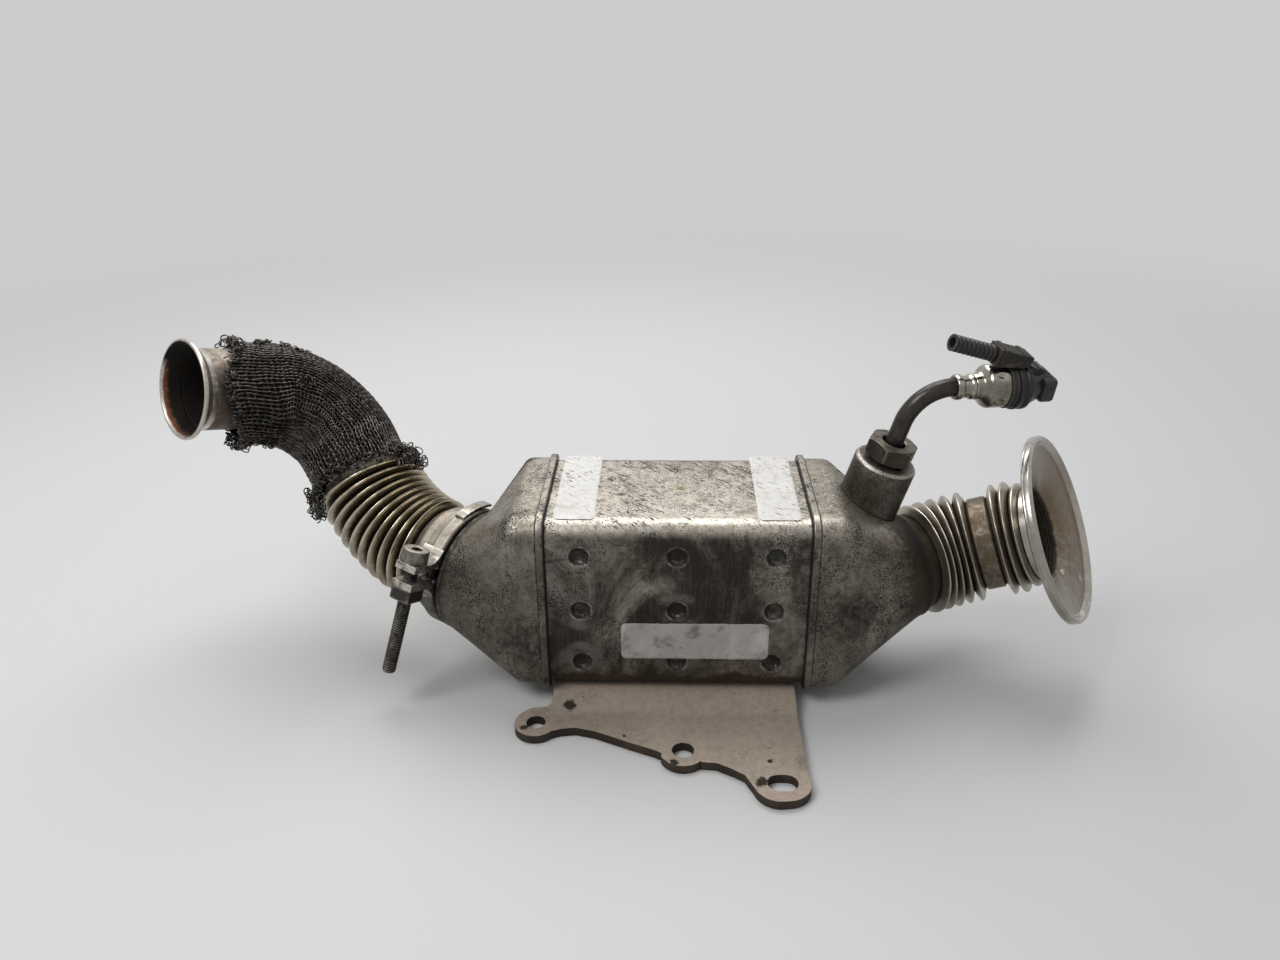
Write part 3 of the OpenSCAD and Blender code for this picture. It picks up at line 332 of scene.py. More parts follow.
def darkMask(tree, look, masks):
    dark = sums(tree, masks["specks"]["Mask"], "max", masks["rub"]["Crease"])
    more = []
    if "drags" in look:
        more.append(useGroup(tree, "drags", {"Amount": look["drags"]})["Mask"])
    # the painted attribute holds dirt and soot, and also painted shade in joints, bores, valleys and gaps
    if look.get("sooty"):
        more.append(paintedMask(tree, "dirtAndShade", masks["grain"]["Break"]))
    for mask in more + [blotMask(tree, *blot) for blot in look.get("blots", ())]:
        dark = sums(tree, dark, "max", mask)
    return dark


# colours from the bare metal up, and how far the dirt and painted shade hide the metal
def layerColours(tree, look, masks, dark):
    stains, grain = masks["stains"], masks["grain"]
    colour = blendColour(tree, threshold(tree, stains["Tone"], 0.35, 0.65), look["base"], look["second"])
    colour = blendColour(tree, stains["Mask"], colour, look["stain"])
    # upright faces go darker: painted shade and oily film
    if "filmAndShade" in look:
        filmAndShade = useGroup(tree, "filmAndShade", {"Cover": look["filmAndShadeCover"]})
        colour = blendColour(tree, filmAndShade["Mask"], colour, look["filmAndShade"])
    if "streak" in look:
        lines = sums(tree, threshold(tree, grain["Streak"], 0.42, 0.66), "*", look["streak"])
        colour = blendColour(tree, lines, colour, look["stain"])
    fine = sums(tree, threshold(tree, grain["Break"], 0.40, 0.68), "*", look["mottle"])
    colour = blendColour(tree, fine, colour, look["dirtAndShade"])
    cover = sums(tree, dark, "max", sums(tree, stains["Mask"], "*", look["cover"]))
    for label in ("wipe", "rust"):
        if label in look:
            mask = paintedMask(tree, label, grain["Break"])
            colour = blendColour(tree, mask, colour, look[label])
            if label == "rust" and not look.get("tint"):  # a tint leaves the metal bare
                cover = sums(tree, cover, "max", sums(tree, mask, "*", 0.5))
    colour = blendColour(tree, masks["rub"]["Bright"], colour, look["bright"])
    # one dark colour for specks, dirt and painted shade alike
    colour = blendColour(tree, dark, colour, look["dirtAndShade"])
    for centre, radius, tone in look.get("dabs", ()):
        colour = blendColour(tree, blotMask(tree, centre, radius), colour, tone)
    return colour, cover


# what a finish has where it doesn't say otherwise
usualLook = {"shine": 0.3, "speckScale": 1500.0, "stainScale": 30.0, "grain": 900.0, "rub": 0.5, "creaseDirtAndShade": 0.6,
             "pits": 0.2, "filmAndShadeCover": 0.92, "mottle": 0.35, "cover": 0.3, "bump": 0.15, "bumpDepth": 0.0004}


def makeFinish(name, own):
    look = {**usualLook, **own}
    made = bpy.data.materials.new(name)
    made.use_nodes = True
    tree = made.node_tree
    shader = tree.nodes["Principled BSDF"].inputs
    shader["Specular IOR Level"].default_value = look["shine"]
    masks = {"specks": useGroup(tree, "specks", {"Scale": look["speckScale"], "Amount": look["specks"]}),
             "stains": useGroup(tree, "stains", {"Scale": look["stainScale"], "Amount": look["stains"]}),
             "rub": useGroup(tree, "rub", {"Rub": look["rub"], "CreaseDirtAndShade": look["creaseDirtAndShade"]}),
             "grain": useGroup(tree, "grain", {"Scale": look["grain"], "Pits": look["pits"]})}
    dark = darkMask(tree, look, masks)
    colour, cover = layerColours(tree, look, masks, dark)
    tree.links.new(colour, shader["Base Color"])
    low, high = look["rough"]
    rough = addNode(tree, "ShaderNodeMapRange", values={"To Min": low, "To Max": high})
    tree.links.new(masks["grain"]["Mottle"], rough.inputs["Value"])
    dull = sums(tree, rough.outputs["Result"], "+", sums(tree, cover, "*", 0.25))
    polished = sums(tree, masks["rub"]["Bright"], "*", 0.12)
    tree.links.new(sums(tree, dull, "-", polished), shader["Roughness"])
    if look["metal"] > 0:
        bare = sums(tree, 1.0, "-", sums(tree, cover, "*", 0.8))
        tree.links.new(sums(tree, bare, "*", look["metal"]), shader["Metallic"])
    bump = addNode(tree, "ShaderNodeBump", values={"Strength": look["bump"], "Distance": look["bumpDepth"]})
    height = sums(tree, masks["grain"]["Height"], "+", sums(tree, masks["specks"]["Mask"], "*", 0.4))
    tree.links.new(height, bump.inputs["Height"])
    tree.links.new(bump.outputs["Normal"], shader["Normal"])
    return made


finishes = {
    "caseSteel": dict(
        base=(0.58, 0.535, 0.465), second=(0.48, 0.44, 0.375), stain=(0.20, 0.172, 0.138),
        filmAndShade=(0.036, 0.032, 0.026), filmAndShadeCover=1.0, rust=(0.042, 0.030, 0.019), wipe=(0.135, 0.126, 0.110),
        dirtAndShade=(0.013, 0.011, 0.009), bright=(0.68, 0.645, 0.59), rough=(0.27, 0.48), metal=0.92, specks=0.78,
        stains=0.36, drags=0.6, streak=0.18, mottle=0.44, sooty=True, rub=0.6, bump=0.22,
        dabs=[((-0.0008, 0.0723, 0.0865), 0.0026, (0.20, 0.175, 0.045))]),
    "rimSteel": dict(
        base=(0.45, 0.41, 0.355), second=(0.35, 0.317, 0.27), stain=(0.19, 0.165, 0.132),
        filmAndShade=(0.078, 0.070, 0.058), dirtAndShade=(0.016, 0.014, 0.011), bright=(0.60, 0.565, 0.52),
        rough=(0.30, 0.48), metal=0.92, specks=0.8, stains=0.45, rub=0.0, mottle=0.45, bump=0.16),
    "coneSteel": dict(
        base=(0.46, 0.42, 0.355), second=(0.35, 0.315, 0.262), stain=(0.155, 0.13, 0.098),
        filmAndShade=(0.120, 0.107, 0.087), rust=(0.045, 0.031, 0.018), dirtAndShade=(0.011, 0.009, 0.007),
        bright=(0.60, 0.565, 0.51), rough=(0.32, 0.54), metal=0.9, specks=0.76, stains=0.44, streak=0.5,
        sooty=True, rub=0.5, mottle=0.42, bump=0.3, pits=0.6),
    "bossSteel": dict(
        base=(0.26, 0.24, 0.205), second=(0.20, 0.18, 0.152), stain=(0.12, 0.10, 0.078),
        filmAndShade=(0.060, 0.053, 0.043), wipe=(0.38, 0.355, 0.315), dirtAndShade=(0.012, 0.010, 0.008),
        bright=(0.44, 0.41, 0.37), rough=(0.34, 0.52), metal=0.9, specks=0.74, stains=0.4, streak=0.5,
        sooty=True, rub=0.25, mottle=0.5, bump=0.24),
    "neckBurnt": dict(
        base=(0.055, 0.04, 0.027), second=(0.03, 0.022, 0.015), stain=(0.08, 0.055, 0.034),
        dirtAndShade=(0.007, 0.006, 0.005), bright=(0.15, 0.12, 0.09), rough=(0.42, 0.6), metal=0.6, specks=0.6,
        stains=0.4, rub=0.3, bump=0.2),
    "nutSteel": dict(
        base=(0.115, 0.096, 0.073), second=(0.08, 0.066, 0.050), stain=(0.20, 0.15, 0.105),
        filmAndShade=(0.034, 0.029, 0.023), dirtAndShade=(0.010, 0.008, 0.006), bright=(0.28, 0.25, 0.21),
        rough=(0.38, 0.58), metal=0.75, specks=0.5, stains=0.35, rub=0.7, bump=0.25),
    "stemSteel": dict(
        base=(0.036, 0.030, 0.026), second=(0.055, 0.045, 0.039), stain=(0.075, 0.052, 0.038),
        dirtAndShade=(0.012, 0.01, 0.009), bright=(0.22, 0.20, 0.19), rough=(0.24, 0.42), metal=0.7, specks=0.35,
        stains=0.3, bump=0.1),
    "plugSteel": dict(
        base=(0.58, 0.54, 0.47), second=(0.44, 0.40, 0.33), stain=(0.24, 0.20, 0.145),
        filmAndShade=(0.11, 0.092, 0.066), filmAndShadeCover=0.75, dirtAndShade=(0.03, 0.026, 0.021), bright=(0.74, 0.71, 0.65),
        rough=(0.14, 0.30), metal=1.0, specks=0.45, stains=0.35, rub=0.7, bump=0.1),
    "bellowsSteel": dict(
        base=(0.64, 0.595, 0.525), second=(0.54, 0.495, 0.425), stain=(0.25, 0.21, 0.155),
        filmAndShade=(0.36, 0.325, 0.27), filmAndShadeCover=0.75, rust=(0.10, 0.072, 0.043), dirtAndShade=(0.010, 0.008, 0.005),
        bright=(0.70, 0.67, 0.61), rough=(0.24, 0.44), metal=0.97, specks=0.5, stains=0.4, sooty=True,
        rub=0.2, creaseDirtAndShade=0.5, mottle=0.2, bump=0.12),
    "tintedSteel": dict(
        base=(0.68, 0.62, 0.52), second=(0.55, 0.485, 0.37), stain=(0.36, 0.285, 0.175),
        filmAndShade=(0.36, 0.31, 0.225), filmAndShadeCover=0.75, rust=(0.085, 0.058, 0.026), dirtAndShade=(0.016, 0.011, 0.005),
        bright=(0.76, 0.71, 0.61), rough=(0.14, 0.28), metal=1.0, specks=0.2, stains=0.34, sooty=True,
        rub=0.3, creaseDirtAndShade=0.6, mottle=0.2, bump=0.06),
    "flangeSteel": dict(
        base=(0.56, 0.53, 0.485), second=(0.42, 0.39, 0.345), stain=(0.26, 0.228, 0.182),
        filmAndShade=(0.27, 0.245, 0.208), filmAndShadeCover=0.7, rust=(0.175, 0.132, 0.090), tint=True,
        dirtAndShade=(0.030, 0.022, 0.015), bright=(0.82, 0.80, 0.77), rough=(0.16, 0.32), metal=1.0, specks=0.3,
        stains=0.42, sooty=True, rub=0.6, mottle=0.16, bump=0.06),
    "mouthSteel": dict(
        base=(0.66, 0.62, 0.56), second=(0.54, 0.49, 0.43), stain=(0.36, 0.29, 0.21),
        rust=(0.15, 0.055, 0.026), dirtAndShade=(0.007, 0.006, 0.005), bright=(0.80, 0.77, 0.71), shine=0.12,
        rough=(0.24, 0.42), metal=0.95, specks=0.35, stains=0.3, sooty=True, rub=0.4, bump=0.1),
    "pipeSteel": dict(
        base=(0.40, 0.35, 0.29), second=(0.33, 0.285, 0.232), stain=(0.22, 0.175, 0.13),
        filmAndShade=(0.070, 0.056, 0.042), rust=(0.10, 0.055, 0.032), dirtAndShade=(0.012, 0.010, 0.008),
        bright=(0.58, 0.54, 0.48), rough=(0.42, 0.60), metal=0.85, specks=0.45, stains=0.42, sooty=True,
        rub=0.4, bump=0.16),
    "clampSteel": dict(
        base=(0.36, 0.325, 0.27), second=(0.28, 0.252, 0.208), stain=(0.16, 0.135, 0.102),
        filmAndShade=(0.085, 0.076, 0.061), dirtAndShade=(0.02, 0.017, 0.013), bright=(0.64, 0.61, 0.56),
        rough=(0.38, 0.58), metal=0.9, specks=0.52, stains=0.42, rub=0.9, bump=0.18),
    "screwSteel": dict(
        base=(0.075, 0.066, 0.058), second=(0.05, 0.044, 0.038), stain=(0.11, 0.075, 0.05),
        dirtAndShade=(0.012, 0.01, 0.009), bright=(0.26, 0.235, 0.21), rough=(0.36, 0.55), metal=0.85, specks=0.4,
        stains=0.35, rub=0.8, bump=0.12),
    "bracketSteel": dict(
        base=(0.44, 0.365, 0.298), second=(0.38, 0.313, 0.252), stain=(0.235, 0.19, 0.148),
        filmAndShade=(0.16, 0.13, 0.105), filmAndShadeCover=0.7, dirtAndShade=(0.03, 0.024, 0.018), bright=(0.40, 0.36, 0.31),
        rough=(0.50, 0.68), metal=0.35, specks=0.52, stains=0.4, rub=0.0, mottle=0.2, bump=0.16,
        blots=[((0.0300, -0.0180, 0.004), 0.0040), ((0.0345, -0.0060, 0.004), 0.0018),
               ((-0.0035, -0.0075, 0.004), 0.0030), ((-0.0660, 0.0130, 0.004), 0.0028),
               ((-0.0480, 0.0270, 0.005), 0.0045), ((-0.0240, 0.0085, 0.004), 0.0016)]),
    "bracketEdge": dict(
        base=(0.055, 0.04, 0.029), second=(0.035, 0.026, 0.02), stain=(0.10, 0.065, 0.04),
        dirtAndShade=(0.012, 0.009, 0.007), bright=(0.20, 0.17, 0.14), rough=(0.55, 0.75), metal=0.4, specks=0.5,
        stains=0.45, rub=0.2, bump=0.25),
    "knitWire": dict(
        base=(0.062, 0.054, 0.047), second=(0.032, 0.028, 0.024), stain=(0.06, 0.044, 0.031),
        filmAndShade=(0.020, 0.017, 0.014), filmAndShadeCover=0.6, dirtAndShade=(0.008, 0.007, 0.006), bright=(0.30, 0.275, 0.25),
        rough=(0.14, 0.34), metal=0.95, specks=0.3, stains=0.3, rub=0.25, bump=0.05),
    # near-black sheet seen between the wires: painted shade
    "knitGapShade": dict(
        base=(0.010, 0.009, 0.008), second=(0.007, 0.006, 0.006), stain=(0.016, 0.013, 0.011),
        dirtAndShade=(0.003, 0.003, 0.003), bright=(0.03, 0.027, 0.025), rough=(0.6, 0.8), metal=0.3, specks=0.3,
        stains=0.3, rub=0.2, bump=0.3),
    "sealRubber": dict(
        base=(0.060, 0.056, 0.051), second=(0.035, 0.033, 0.030), stain=(0.12, 0.11, 0.093),
        dirtAndShade=(0.015, 0.014, 0.013), bright=(0.15, 0.145, 0.14), rough=(0.5, 0.7), metal=0.0, specks=0.35,
        stains=0.35, bump=0.12),
    "plugBlack": dict(
        base=(0.022, 0.021, 0.020), second=(0.015, 0.0145, 0.014), stain=(0.05, 0.043, 0.035),
        dirtAndShade=(0.008, 0.0075, 0.007), bright=(0.07, 0.066, 0.06), shine=0.36, rough=(0.26, 0.46), metal=0.0,
        specks=0.35, stains=0.3, bump=0.1),
    "clipBrown": dict(
        base=(0.024, 0.020, 0.016), second=(0.016, 0.0135, 0.011), stain=(0.055, 0.044, 0.033),
        dirtAndShade=(0.015, 0.012, 0.01), bright=(0.13, 0.11, 0.09), rough=(0.42, 0.62), metal=0.0, specks=0.4,
        stains=0.35, bump=0.14),
    "finSheet": dict(
        base=(0.30, 0.27, 0.23), second=(0.22, 0.19, 0.16), stain=(0.10, 0.08, 0.06),
        dirtAndShade=(0.02, 0.017, 0.013), bright=(0.45, 0.42, 0.38), rough=(0.38, 0.55), metal=0.9, specks=0.4,
        stains=0.6, bump=0.1),
    "labelPaper": dict(
        base=(0.78, 0.765, 0.735), second=(0.70, 0.68, 0.645), stain=(0.50, 0.47, 0.42),
        filmAndShade=(0.36, 0.345, 0.32), dirtAndShade=(0.075, 0.068, 0.06), bright=(0.80, 0.78, 0.75), rough=(0.34, 0.52),
        metal=0.0, specks=0.55, stains=0.42, stainScale=60.0, drags=0.42, sooty=True, mottle=0.12, bump=0.1),
}
finish = {name: makeFinish(name, look) for name, look in finishes.items()}
print("finishes made:", len(finish))


# mesh helpers
def skin(rings, loopRings=False, capStart=False, capEnd=False):
    count = len(rings[0])
    points = [p for ring in rings for p in ring]
    faces = []
    for i in range(len(rings) if loopRings else len(rings) - 1):
        a, b = i * count, (i + 1) % len(rings) * count
        for j in range(count):
            k = (j + 1) % count
            faces.append((a + j, a + k, b + k, b + j))
    if capStart:
        faces.append(tuple(reversed(range(count))))
    if capEnd:
        faces.append(tuple(range(len(points) - count, len(points))))
    return points, faces


def softCorner(before, here, after, cut, steps, most=0.45):
    a = here + (before - here).normalized() * min(cut, 0.45 * (before - here).length)
    b = here + (after - here).normalized() * min(cut, most * (after - here).length)
    shares = [k / steps for k in range(steps + 1)]
    return [a * (1 - u) ** 2 + here * 2 * u * (1 - u) + b * u ** 2 for u in shares]


def softProfile(points, cut, steps=4, closed=True):
    corners = [Vector(p) for p in points]
    line = []
    for i, here in enumerate(corners):
        if not closed and i in (0, len(corners) - 1):
            line.append(here)
        else:
            line += softCorner(corners[i - 1], here, corners[(i + 1) % len(corners)], cut, steps)
    return line


def polar(at, r, t, z):
    return at @ Vector((r * math.cos(t), r * math.sin(t), z))


def circle(at, reach, z, around):  # reach is a radius, or a rule that gives one for an angle
    angles = [math.tau * j / around for j in range(around)]
    return [polar(at, reach(t) if callable(reach) else reach, t, z) for t in angles]


def hexReach(flat, t):
    return flat / math.cos(t % (math.pi / 3) - math.pi / 6)


def lathe(profile, at, around=96, dent=None):
    rings = []
    for r, z in profile:
        rings.append(circle(at, (lambda t: r - dent(t, z)) if dent else r, z, around))
    return skin(rings, loopRings=True)


def tube(path, radius, sides=6, closed=False, outward=None):
    rings, side = [], None
    angles = [math.tau * j / sides for j in range(sides)]
    for i, here in enumerate(path):
        before = path[i - 1] if closed or i > 0 else here
        after = path[(i + 1) % len(path)] if closed or i < len(path) - 1 else here
        ahead = (after - before).normalized()
        if outward is not None:
            side = outward[i]
        elif side is None:
            side = ahead.orthogonal()
        side = (side - ahead * side.dot(ahead)).normalized()
        other = ahead.cross(side)
        rings.append([here + (side * math.cos(t) + other * math.sin(t)) * radius for t in angles])
    return skin(rings, loopRings=closed, capStart=not closed, capEnd=not closed)


def joined(parts):
    points, faces = [], []
    for morePoints, moreFaces in parts:
        base = len(points)
        points += morePoints
        faces += [tuple(i + base for i in face) for face in moreFaces]
    return points, faces


def filledLoops(loops):  # the first loop is the outline, the others are its holes
    work = bmesh.new()
    for line in loops:
        ring = [work.verts.new(p) for p in line]
        for i, v in enumerate(ring):
            work.edges.new((v, ring[(i + 1) % len(ring)]))
    bmesh.ops.triangle_fill(work, use_beauty=True, use_dissolve=False, edges=work.edges[:])
    return work


def thicken(work, push):
    grown = bmesh.ops.extrude_face_region(work, geom=work.faces[:])
    moved = [v for v in grown["geom"] if isinstance(v, bmesh.types.BMVert)]
    bmesh.ops.translate(work, vec=push, verts=moved)


def takenOut(work, place):
    work.verts.index_update()
    points = [place(v.co) for v in work.verts]
    faces = [tuple(v.index for v in f.verts) for f in work.faces]
    work.free()
    return points, faces


def boxShape(at, low, high, cuts=3):
    work = bmesh.new()
    bmesh.ops.create_cube(work, size=1.0)
    bmesh.ops.subdivide_edges(work, edges=work.edges[:], cuts=cuts, use_grid_fill=True)
    low, high = Vector(low), Vector(high)

    def place(co):
        return at @ Vector([low[k] + (co[k] + 0.5) * (high[k] - low[k]) for k in range(3)])

    return takenOut(work, place)


# paint holds a rule per mask, trim a second finish and the faces that take it
def addPiece(name, shape, finishName, slot=None, nodes=(), sharp=38, bevel=None, paint=None, trim=None):
    points, faces = shape
    mesh = bpy.data.meshes.new(name)
    mesh.from_pydata([Vector(p) * mm for p in points], [], faces)
    work = bmesh.new()
    work.from_mesh(mesh)
    bmesh.ops.recalc_face_normals(work, faces=work.faces)
    work.to_mesh(mesh)
    work.free()
    mesh.shade_smooth()
    mesh.set_sharp_from_angle(angle=math.radians(sharp))
    mesh.materials.append(finish[finishName])
    if trim:
        mesh.materials.append(finish[trim[0]])
        for face in mesh.polygons:
            face.material_index = 1 if trim[1](face.center / mm, face.normal) else 0
    for label, rule in (paint or {}).items():
        layer = mesh.attributes.new(label, "FLOAT", "POINT")
        layer.data.foreach_set("value", [rule(i, p) for i, p in enumerate(points)])
    made = bpy.data.objects.new(name, mesh)
    scene.collection.objects.link(made)
    if bevel:
        edge = made.modifiers.new("softEdges", "BEVEL")
        edge.width, edge.segments, edge.limit_method = bevel * mm, 3, "ANGLE"
        edge.angle_limit = math.radians(32)
        made.modifiers.new("evenShade", "WEIGHTED_NORMAL").keep_sharp = False
    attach(made, "root")
    if nodes:
        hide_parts(*nodes)


def wobble(point, size, amount):
    return noise.noise_vector(Vector(point) / size) * amount


def noiseAt(x, y, z):
    return noise.noise(Vector((x, y, z)))


def roundedRing(width, height, radius, cornerSteps=10, sideSteps=8):
    ring = []  # (across, up, angle on the far disc)
    gap = 5  # degrees of the disc that half a side takes
    signs = ((1, 1), (-1, 1), (-1, -1), (1, -1))
    corners = [(sx * (width / 2 - radius), sy * (height / 2 - radius)) for sx, sy in signs]
    for c, (cx, cy) in enumerate(corners):
        for k in range(cornerSteps + 1):
            a = math.radians(c * 90 + 90 * k / cornerSteps)
            onDisc = c * 90 + gap + (90 - 2 * gap) * k / cornerSteps
            ring.append((cx + radius * math.cos(a), cy + radius * math.sin(a), onDisc))
        ex, ey = ring[-1][:2]
        nx, ny = corners[(c + 1) % 4]
        fx, fy = nx + radius * math.cos(a), ny + radius * math.sin(a)
        for k in range(1, sideSteps):
            u = k / sideSteps
            ring.append((ex + (fx - ex) * u, ey + (fy - ey) * u, c * 90 + 90 - gap + 2 * gap * u))
    return ring


# core case with its pressed dimples and the two hose openings
caseSheet = {
    "cell": 0.8, "sideRun": 60, "overlap": 0.5, "dimplePitchX": 40.25, "dimplePitchZ": 25.5,
    "dimpleRadius": 4.2, "dimpleFloor": 2.7, "dimpleDepth": 2.0, "portBore": 7.2, "wallFrom": 33.0,
    "drips": 9.0, "soot": (60, 74, 79, 85), "runs": (58, 68, 78, 84), "topSpot": (2, -6, 9),
    "wipeRing": 7.0, "wiped": [(-1, -1, 0.8), (-1, 0, 0.62), (0, -1, 0.5), (1, -1, 0.42), (0, 0, 0.36)],
}


def dimpleSpots(spec):
    for a in (-1, 0, 1):
        for b in (-1, 0, 1):
            yield a * spec["dimplePitchX"], b * spec["dimplePitchZ"]


def casePaint(spec):
    body = coolerBody
    foot = body["middleZ"] - body["caseHeight"] / 2

    def dirtAndShade(i, p):
        q = caseBack @ p
        # painted shade along the joint with the rim plates
        value = 0.95 if body["length"] / 2 - body["headerThick"] - abs(q.x) < 1.0 else 0.0
        if abs(q.y) > spec["wallFrom"]:  # dirt and painted shade round and in the dimples
            nearest = min(math.hypot(q.x - x, q.z - body["middleZ"] - z) for x, z in dimpleSpots(spec))
            rim = 0.85 * (1 - ease(abs(nearest - 3.6), 0.3, 1.3))
            value = max(value, rim, 0.72 * (1 - ease(nearest, 2.4, 3.6)))
        if q.y < -30 and q.z > 62:  # soot under the front edge
            value = max(value, 0.46 * band(q.z, *spec["soot"]) * ease(q.x, -45, 0))
        return value

    def rust(i, p):
        q = caseBack @ p
        if abs(q.y) < 30:  # one brown spot on top
            x, y, reach = spec["topSpot"]
            return 0.5 - math.hypot(q.x - x, q.y - y) / reach if q.z > 80 else 0.0
        edge = spec["drips"] + 3.0 * noiseAt(q.x * 0.06, 0, 4) + 1.4 * noiseAt(q.x * 0.3, 0, 9)
        value = 0.9 * ease(edge - (q.z - foot), 0.0, 3.0)
        if q.y < -30:  # runs below the front edge
            run = noiseAt(q.x * 0.045, 3, q.z * 0.3) + 0.4 * noiseAt(q.x * 0.1, 8, q.z * 0.8)
            value = max(value, 0.62 * ease(run, -0.05, 0.45) * band(q.z, *spec["runs"]))
        return value

    def wipe(i, p):
        q = caseBack @ p
        if q.y > -33.5:
            return 0.0
        value, torn = 0.0, noiseAt(q.x * 0.16, 7, q.z * 0.16)
        for a, b, share in spec["wiped"]:
            d = math.hypot(q.x - a * spec["dimplePitchX"], q.z - body["middleZ"] - b * spec["dimplePitchZ"])
            value = max(value, (share + 0.8 * torn) * (1 - ease(abs(d - spec["wipeRing"]), 0.5, 6.0)))
        return value

    return {"dirtAndShade": dirtAndShade, "rust": rust, "wipe": wipe}


def buildCase(spec):
    body = coolerBody
    half = body["length"] / 2 - body["headerThick"] + spec["overlap"]
    rows = int(2 * half / spec["cell"])
    sides = int(spec["sideRun"] / spec["cell"])
    outline = roundedRing(body["caseDepth"], body["caseHeight"], body["caseRound"], 16, sides)
    rings = []
    for i in range(rows + 1):
        x = -half + 2 * half * i / rows
        ring = []
        for y, z, _ in outline:
            inset = 0.0
            if abs(abs(y) - body["caseDepth"] / 2) < 0.01:
                nearest = min(math.hypot(x - a, z - b) for a, b in dimpleSpots(spec))
                inset = spec["dimpleDepth"] * (1 - ease(nearest, spec["dimpleFloor"], spec["dimpleRadius"]))
            place = Vector((x, y - math.copysign(inset, y), z + body["middleZ"]))
            ring.append(caseAt @ (place + wobble(place, *body["ripple"])))
        rings.append(ring)
    points, faces = skin(rings)

    def inPort(face):
        mid = caseBack @ (sum((points[i] for i in face), Vector()) / 4)
        x, z = body["portX"], body["portZ"]
        return mid.y > 30 and any(
            math.hypot(mid.x - s * x, mid.z - body["middleZ"] - s * z) < spec["portBore"] for s in (-1, 1))

    sheet = [face for face in faces if not inPort(face)]
    addPiece("case_sheet", (points, sheet), "caseSteel", "stained_steel", ["core_case"],
             paint=casePaint(spec))


buildCase(caseSheet)


# header plates with the slots for the flat gas tubes
headerPlate = {"tubes": 7, "pitch": 10.514, "tubeWidth": 61.0, "tubeHeight": 8.114, "edge": 0.6}


def buildHeader(name, x, node):
    body, spec = coolerBody, headerPlate
    slotRound = spec["tubeHeight"] / 2 - 0.1
    shapes = [(roundedRing(body["rimDepth"], body["rimHeight"], body["rimRound"], 12, 2), body["middleZ"])]
    for i in range(spec["tubes"]):
        z = body["middleZ"] + (i - (spec["tubes"] - 1) / 2) * spec["pitch"]
        shapes.append((roundedRing(spec["tubeWidth"], spec["tubeHeight"], slotRound, 6, 2), z))
    work = filledLoops([[Vector((x, a, b + z)) for a, b, _ in outline] for outline, z in shapes])
    thicken(work, (body["headerThick"], 0, 0))
    shape = takenOut(work, lambda co: caseAt @ co)
    addPiece(name, shape, "rimSteel", "stained_steel", [node], bevel=spec["edge"])


buildHeader("inlet_rim", coolerBody["length"] / 2 - coolerBody["headerThick"], "header_inlet")
buildHeader("outlet_rim", -coolerBody["length"] / 2, "header_outlet")
print("core made")


# pressed diffusers between the rims and the round pipe ends
coneSheet = {"skirt": 10.6, "inset": 1.5, "wall": 2.0, "ring": 3.0, "soft": (3.0, 7.0),
             "ripple": (30.0, 0.18)}
inletCone = {**coneSheet, "side": 1, "at": inletAt, "ringRadius": 23.7, "bore": 18.5,
             "burnAndGapShade": (1.0, 9.0), "brown": 26.0, "sooty": (73, -30, 45)}
outletCone = {**coneSheet, "side": -1, "at": outletAt, "ringRadius": 27.5, "bore": 19.2,
              # inlet: heat burn before the ring; outlet: painted shade of the gap under the clamp band
              "burnAndGapShade": (0.9, 2.6), "brown": 6.0, "sooty": (-64, -36, 30)}


def coneRings(spec, inward, bore):
    body, side = coolerBody, spec["side"]
    inset = 2 * (spec["inset"] + inward)
    outline = roundedRing(body["rimDepth"] - inset, body["rimHeight"] - inset,
                          body["rimRound"] - 1 - inward, 10, 10)
    columns = []
    for y, z, degrees in outline:
        t = math.radians(degrees)

        def onRim(out):
            return caseAt @ Vector((side * (body["length"] / 2 + out), side * y, z + body["middleZ"]))

        def onRing(r, height):
            return spec["at"] @ Vector((-r * math.sin(t), r * math.cos(t), height))

        r = spec["ringRadius"] - inward
        start, end = onRim(0.0), onRim(spec["skirt"])
        low, top = onRing(r, -spec["ring"]), onRing(r, 0)
        line = [start.lerp(end, u) for u in (0.0, 0.07, 0.1, 0.4)]
        line += softCorner(start, end, low, spec["soft"][0], 6, 0.6)
        foot = softCorner(end, low, top, spec["soft"][1], 6, 0.6)
        line += [line[-1].lerp(foot[0], u / 12) for u in range(1, 12)] + foot + [top]
        if bore:
            line.append(onRing(bore, 0))
        columns.append([p + wobble(p, *spec["ripple"]) for p in line])
    return [list(row) for row in zip(*columns)]


def buildCone(name, spec, node):
    outer = coneRings(spec, 0.0, None)
    inner = coneRings(spec, spec["wall"], spec["bore"])
    back = spec["at"].inverted()
    share, reach = spec["burnAndGapShade"]

    def dirtAndShade(i, p):
        q = caseBack @ p
        edge = abs(q.x) - coolerBody["length"] / 2
        cluster = 0.66 * (1 - ease((q - Vector(spec["sooty"])).length, 5, 26))
        # painted shade along the joint with the rim, then the ring darkening and a soot cluster
        return max(0.95 * (1 - ease(edge, 0.4, 1.0)), share * ease((back @ p).z, -reach, 0.0), cluster)

    def rust(i, p):
        return 0.95 * ease((back @ p).z, -spec["brown"], -0.1 * spec["brown"])

    addPiece(name, skin(outer + inner[::-1], loopRings=True), "coneSteel", "diffuser_steel", [node], sharp=50,
             paint={"dirtAndShade": dirtAndShade, "rust": rust})
    return skin(outer)


inletShell = buildCone("inlet_cone", inletCone, "inlet_diffuser")
buildCone("outlet_cone", outletCone, "outlet_diffuser")
print("diffusers made")


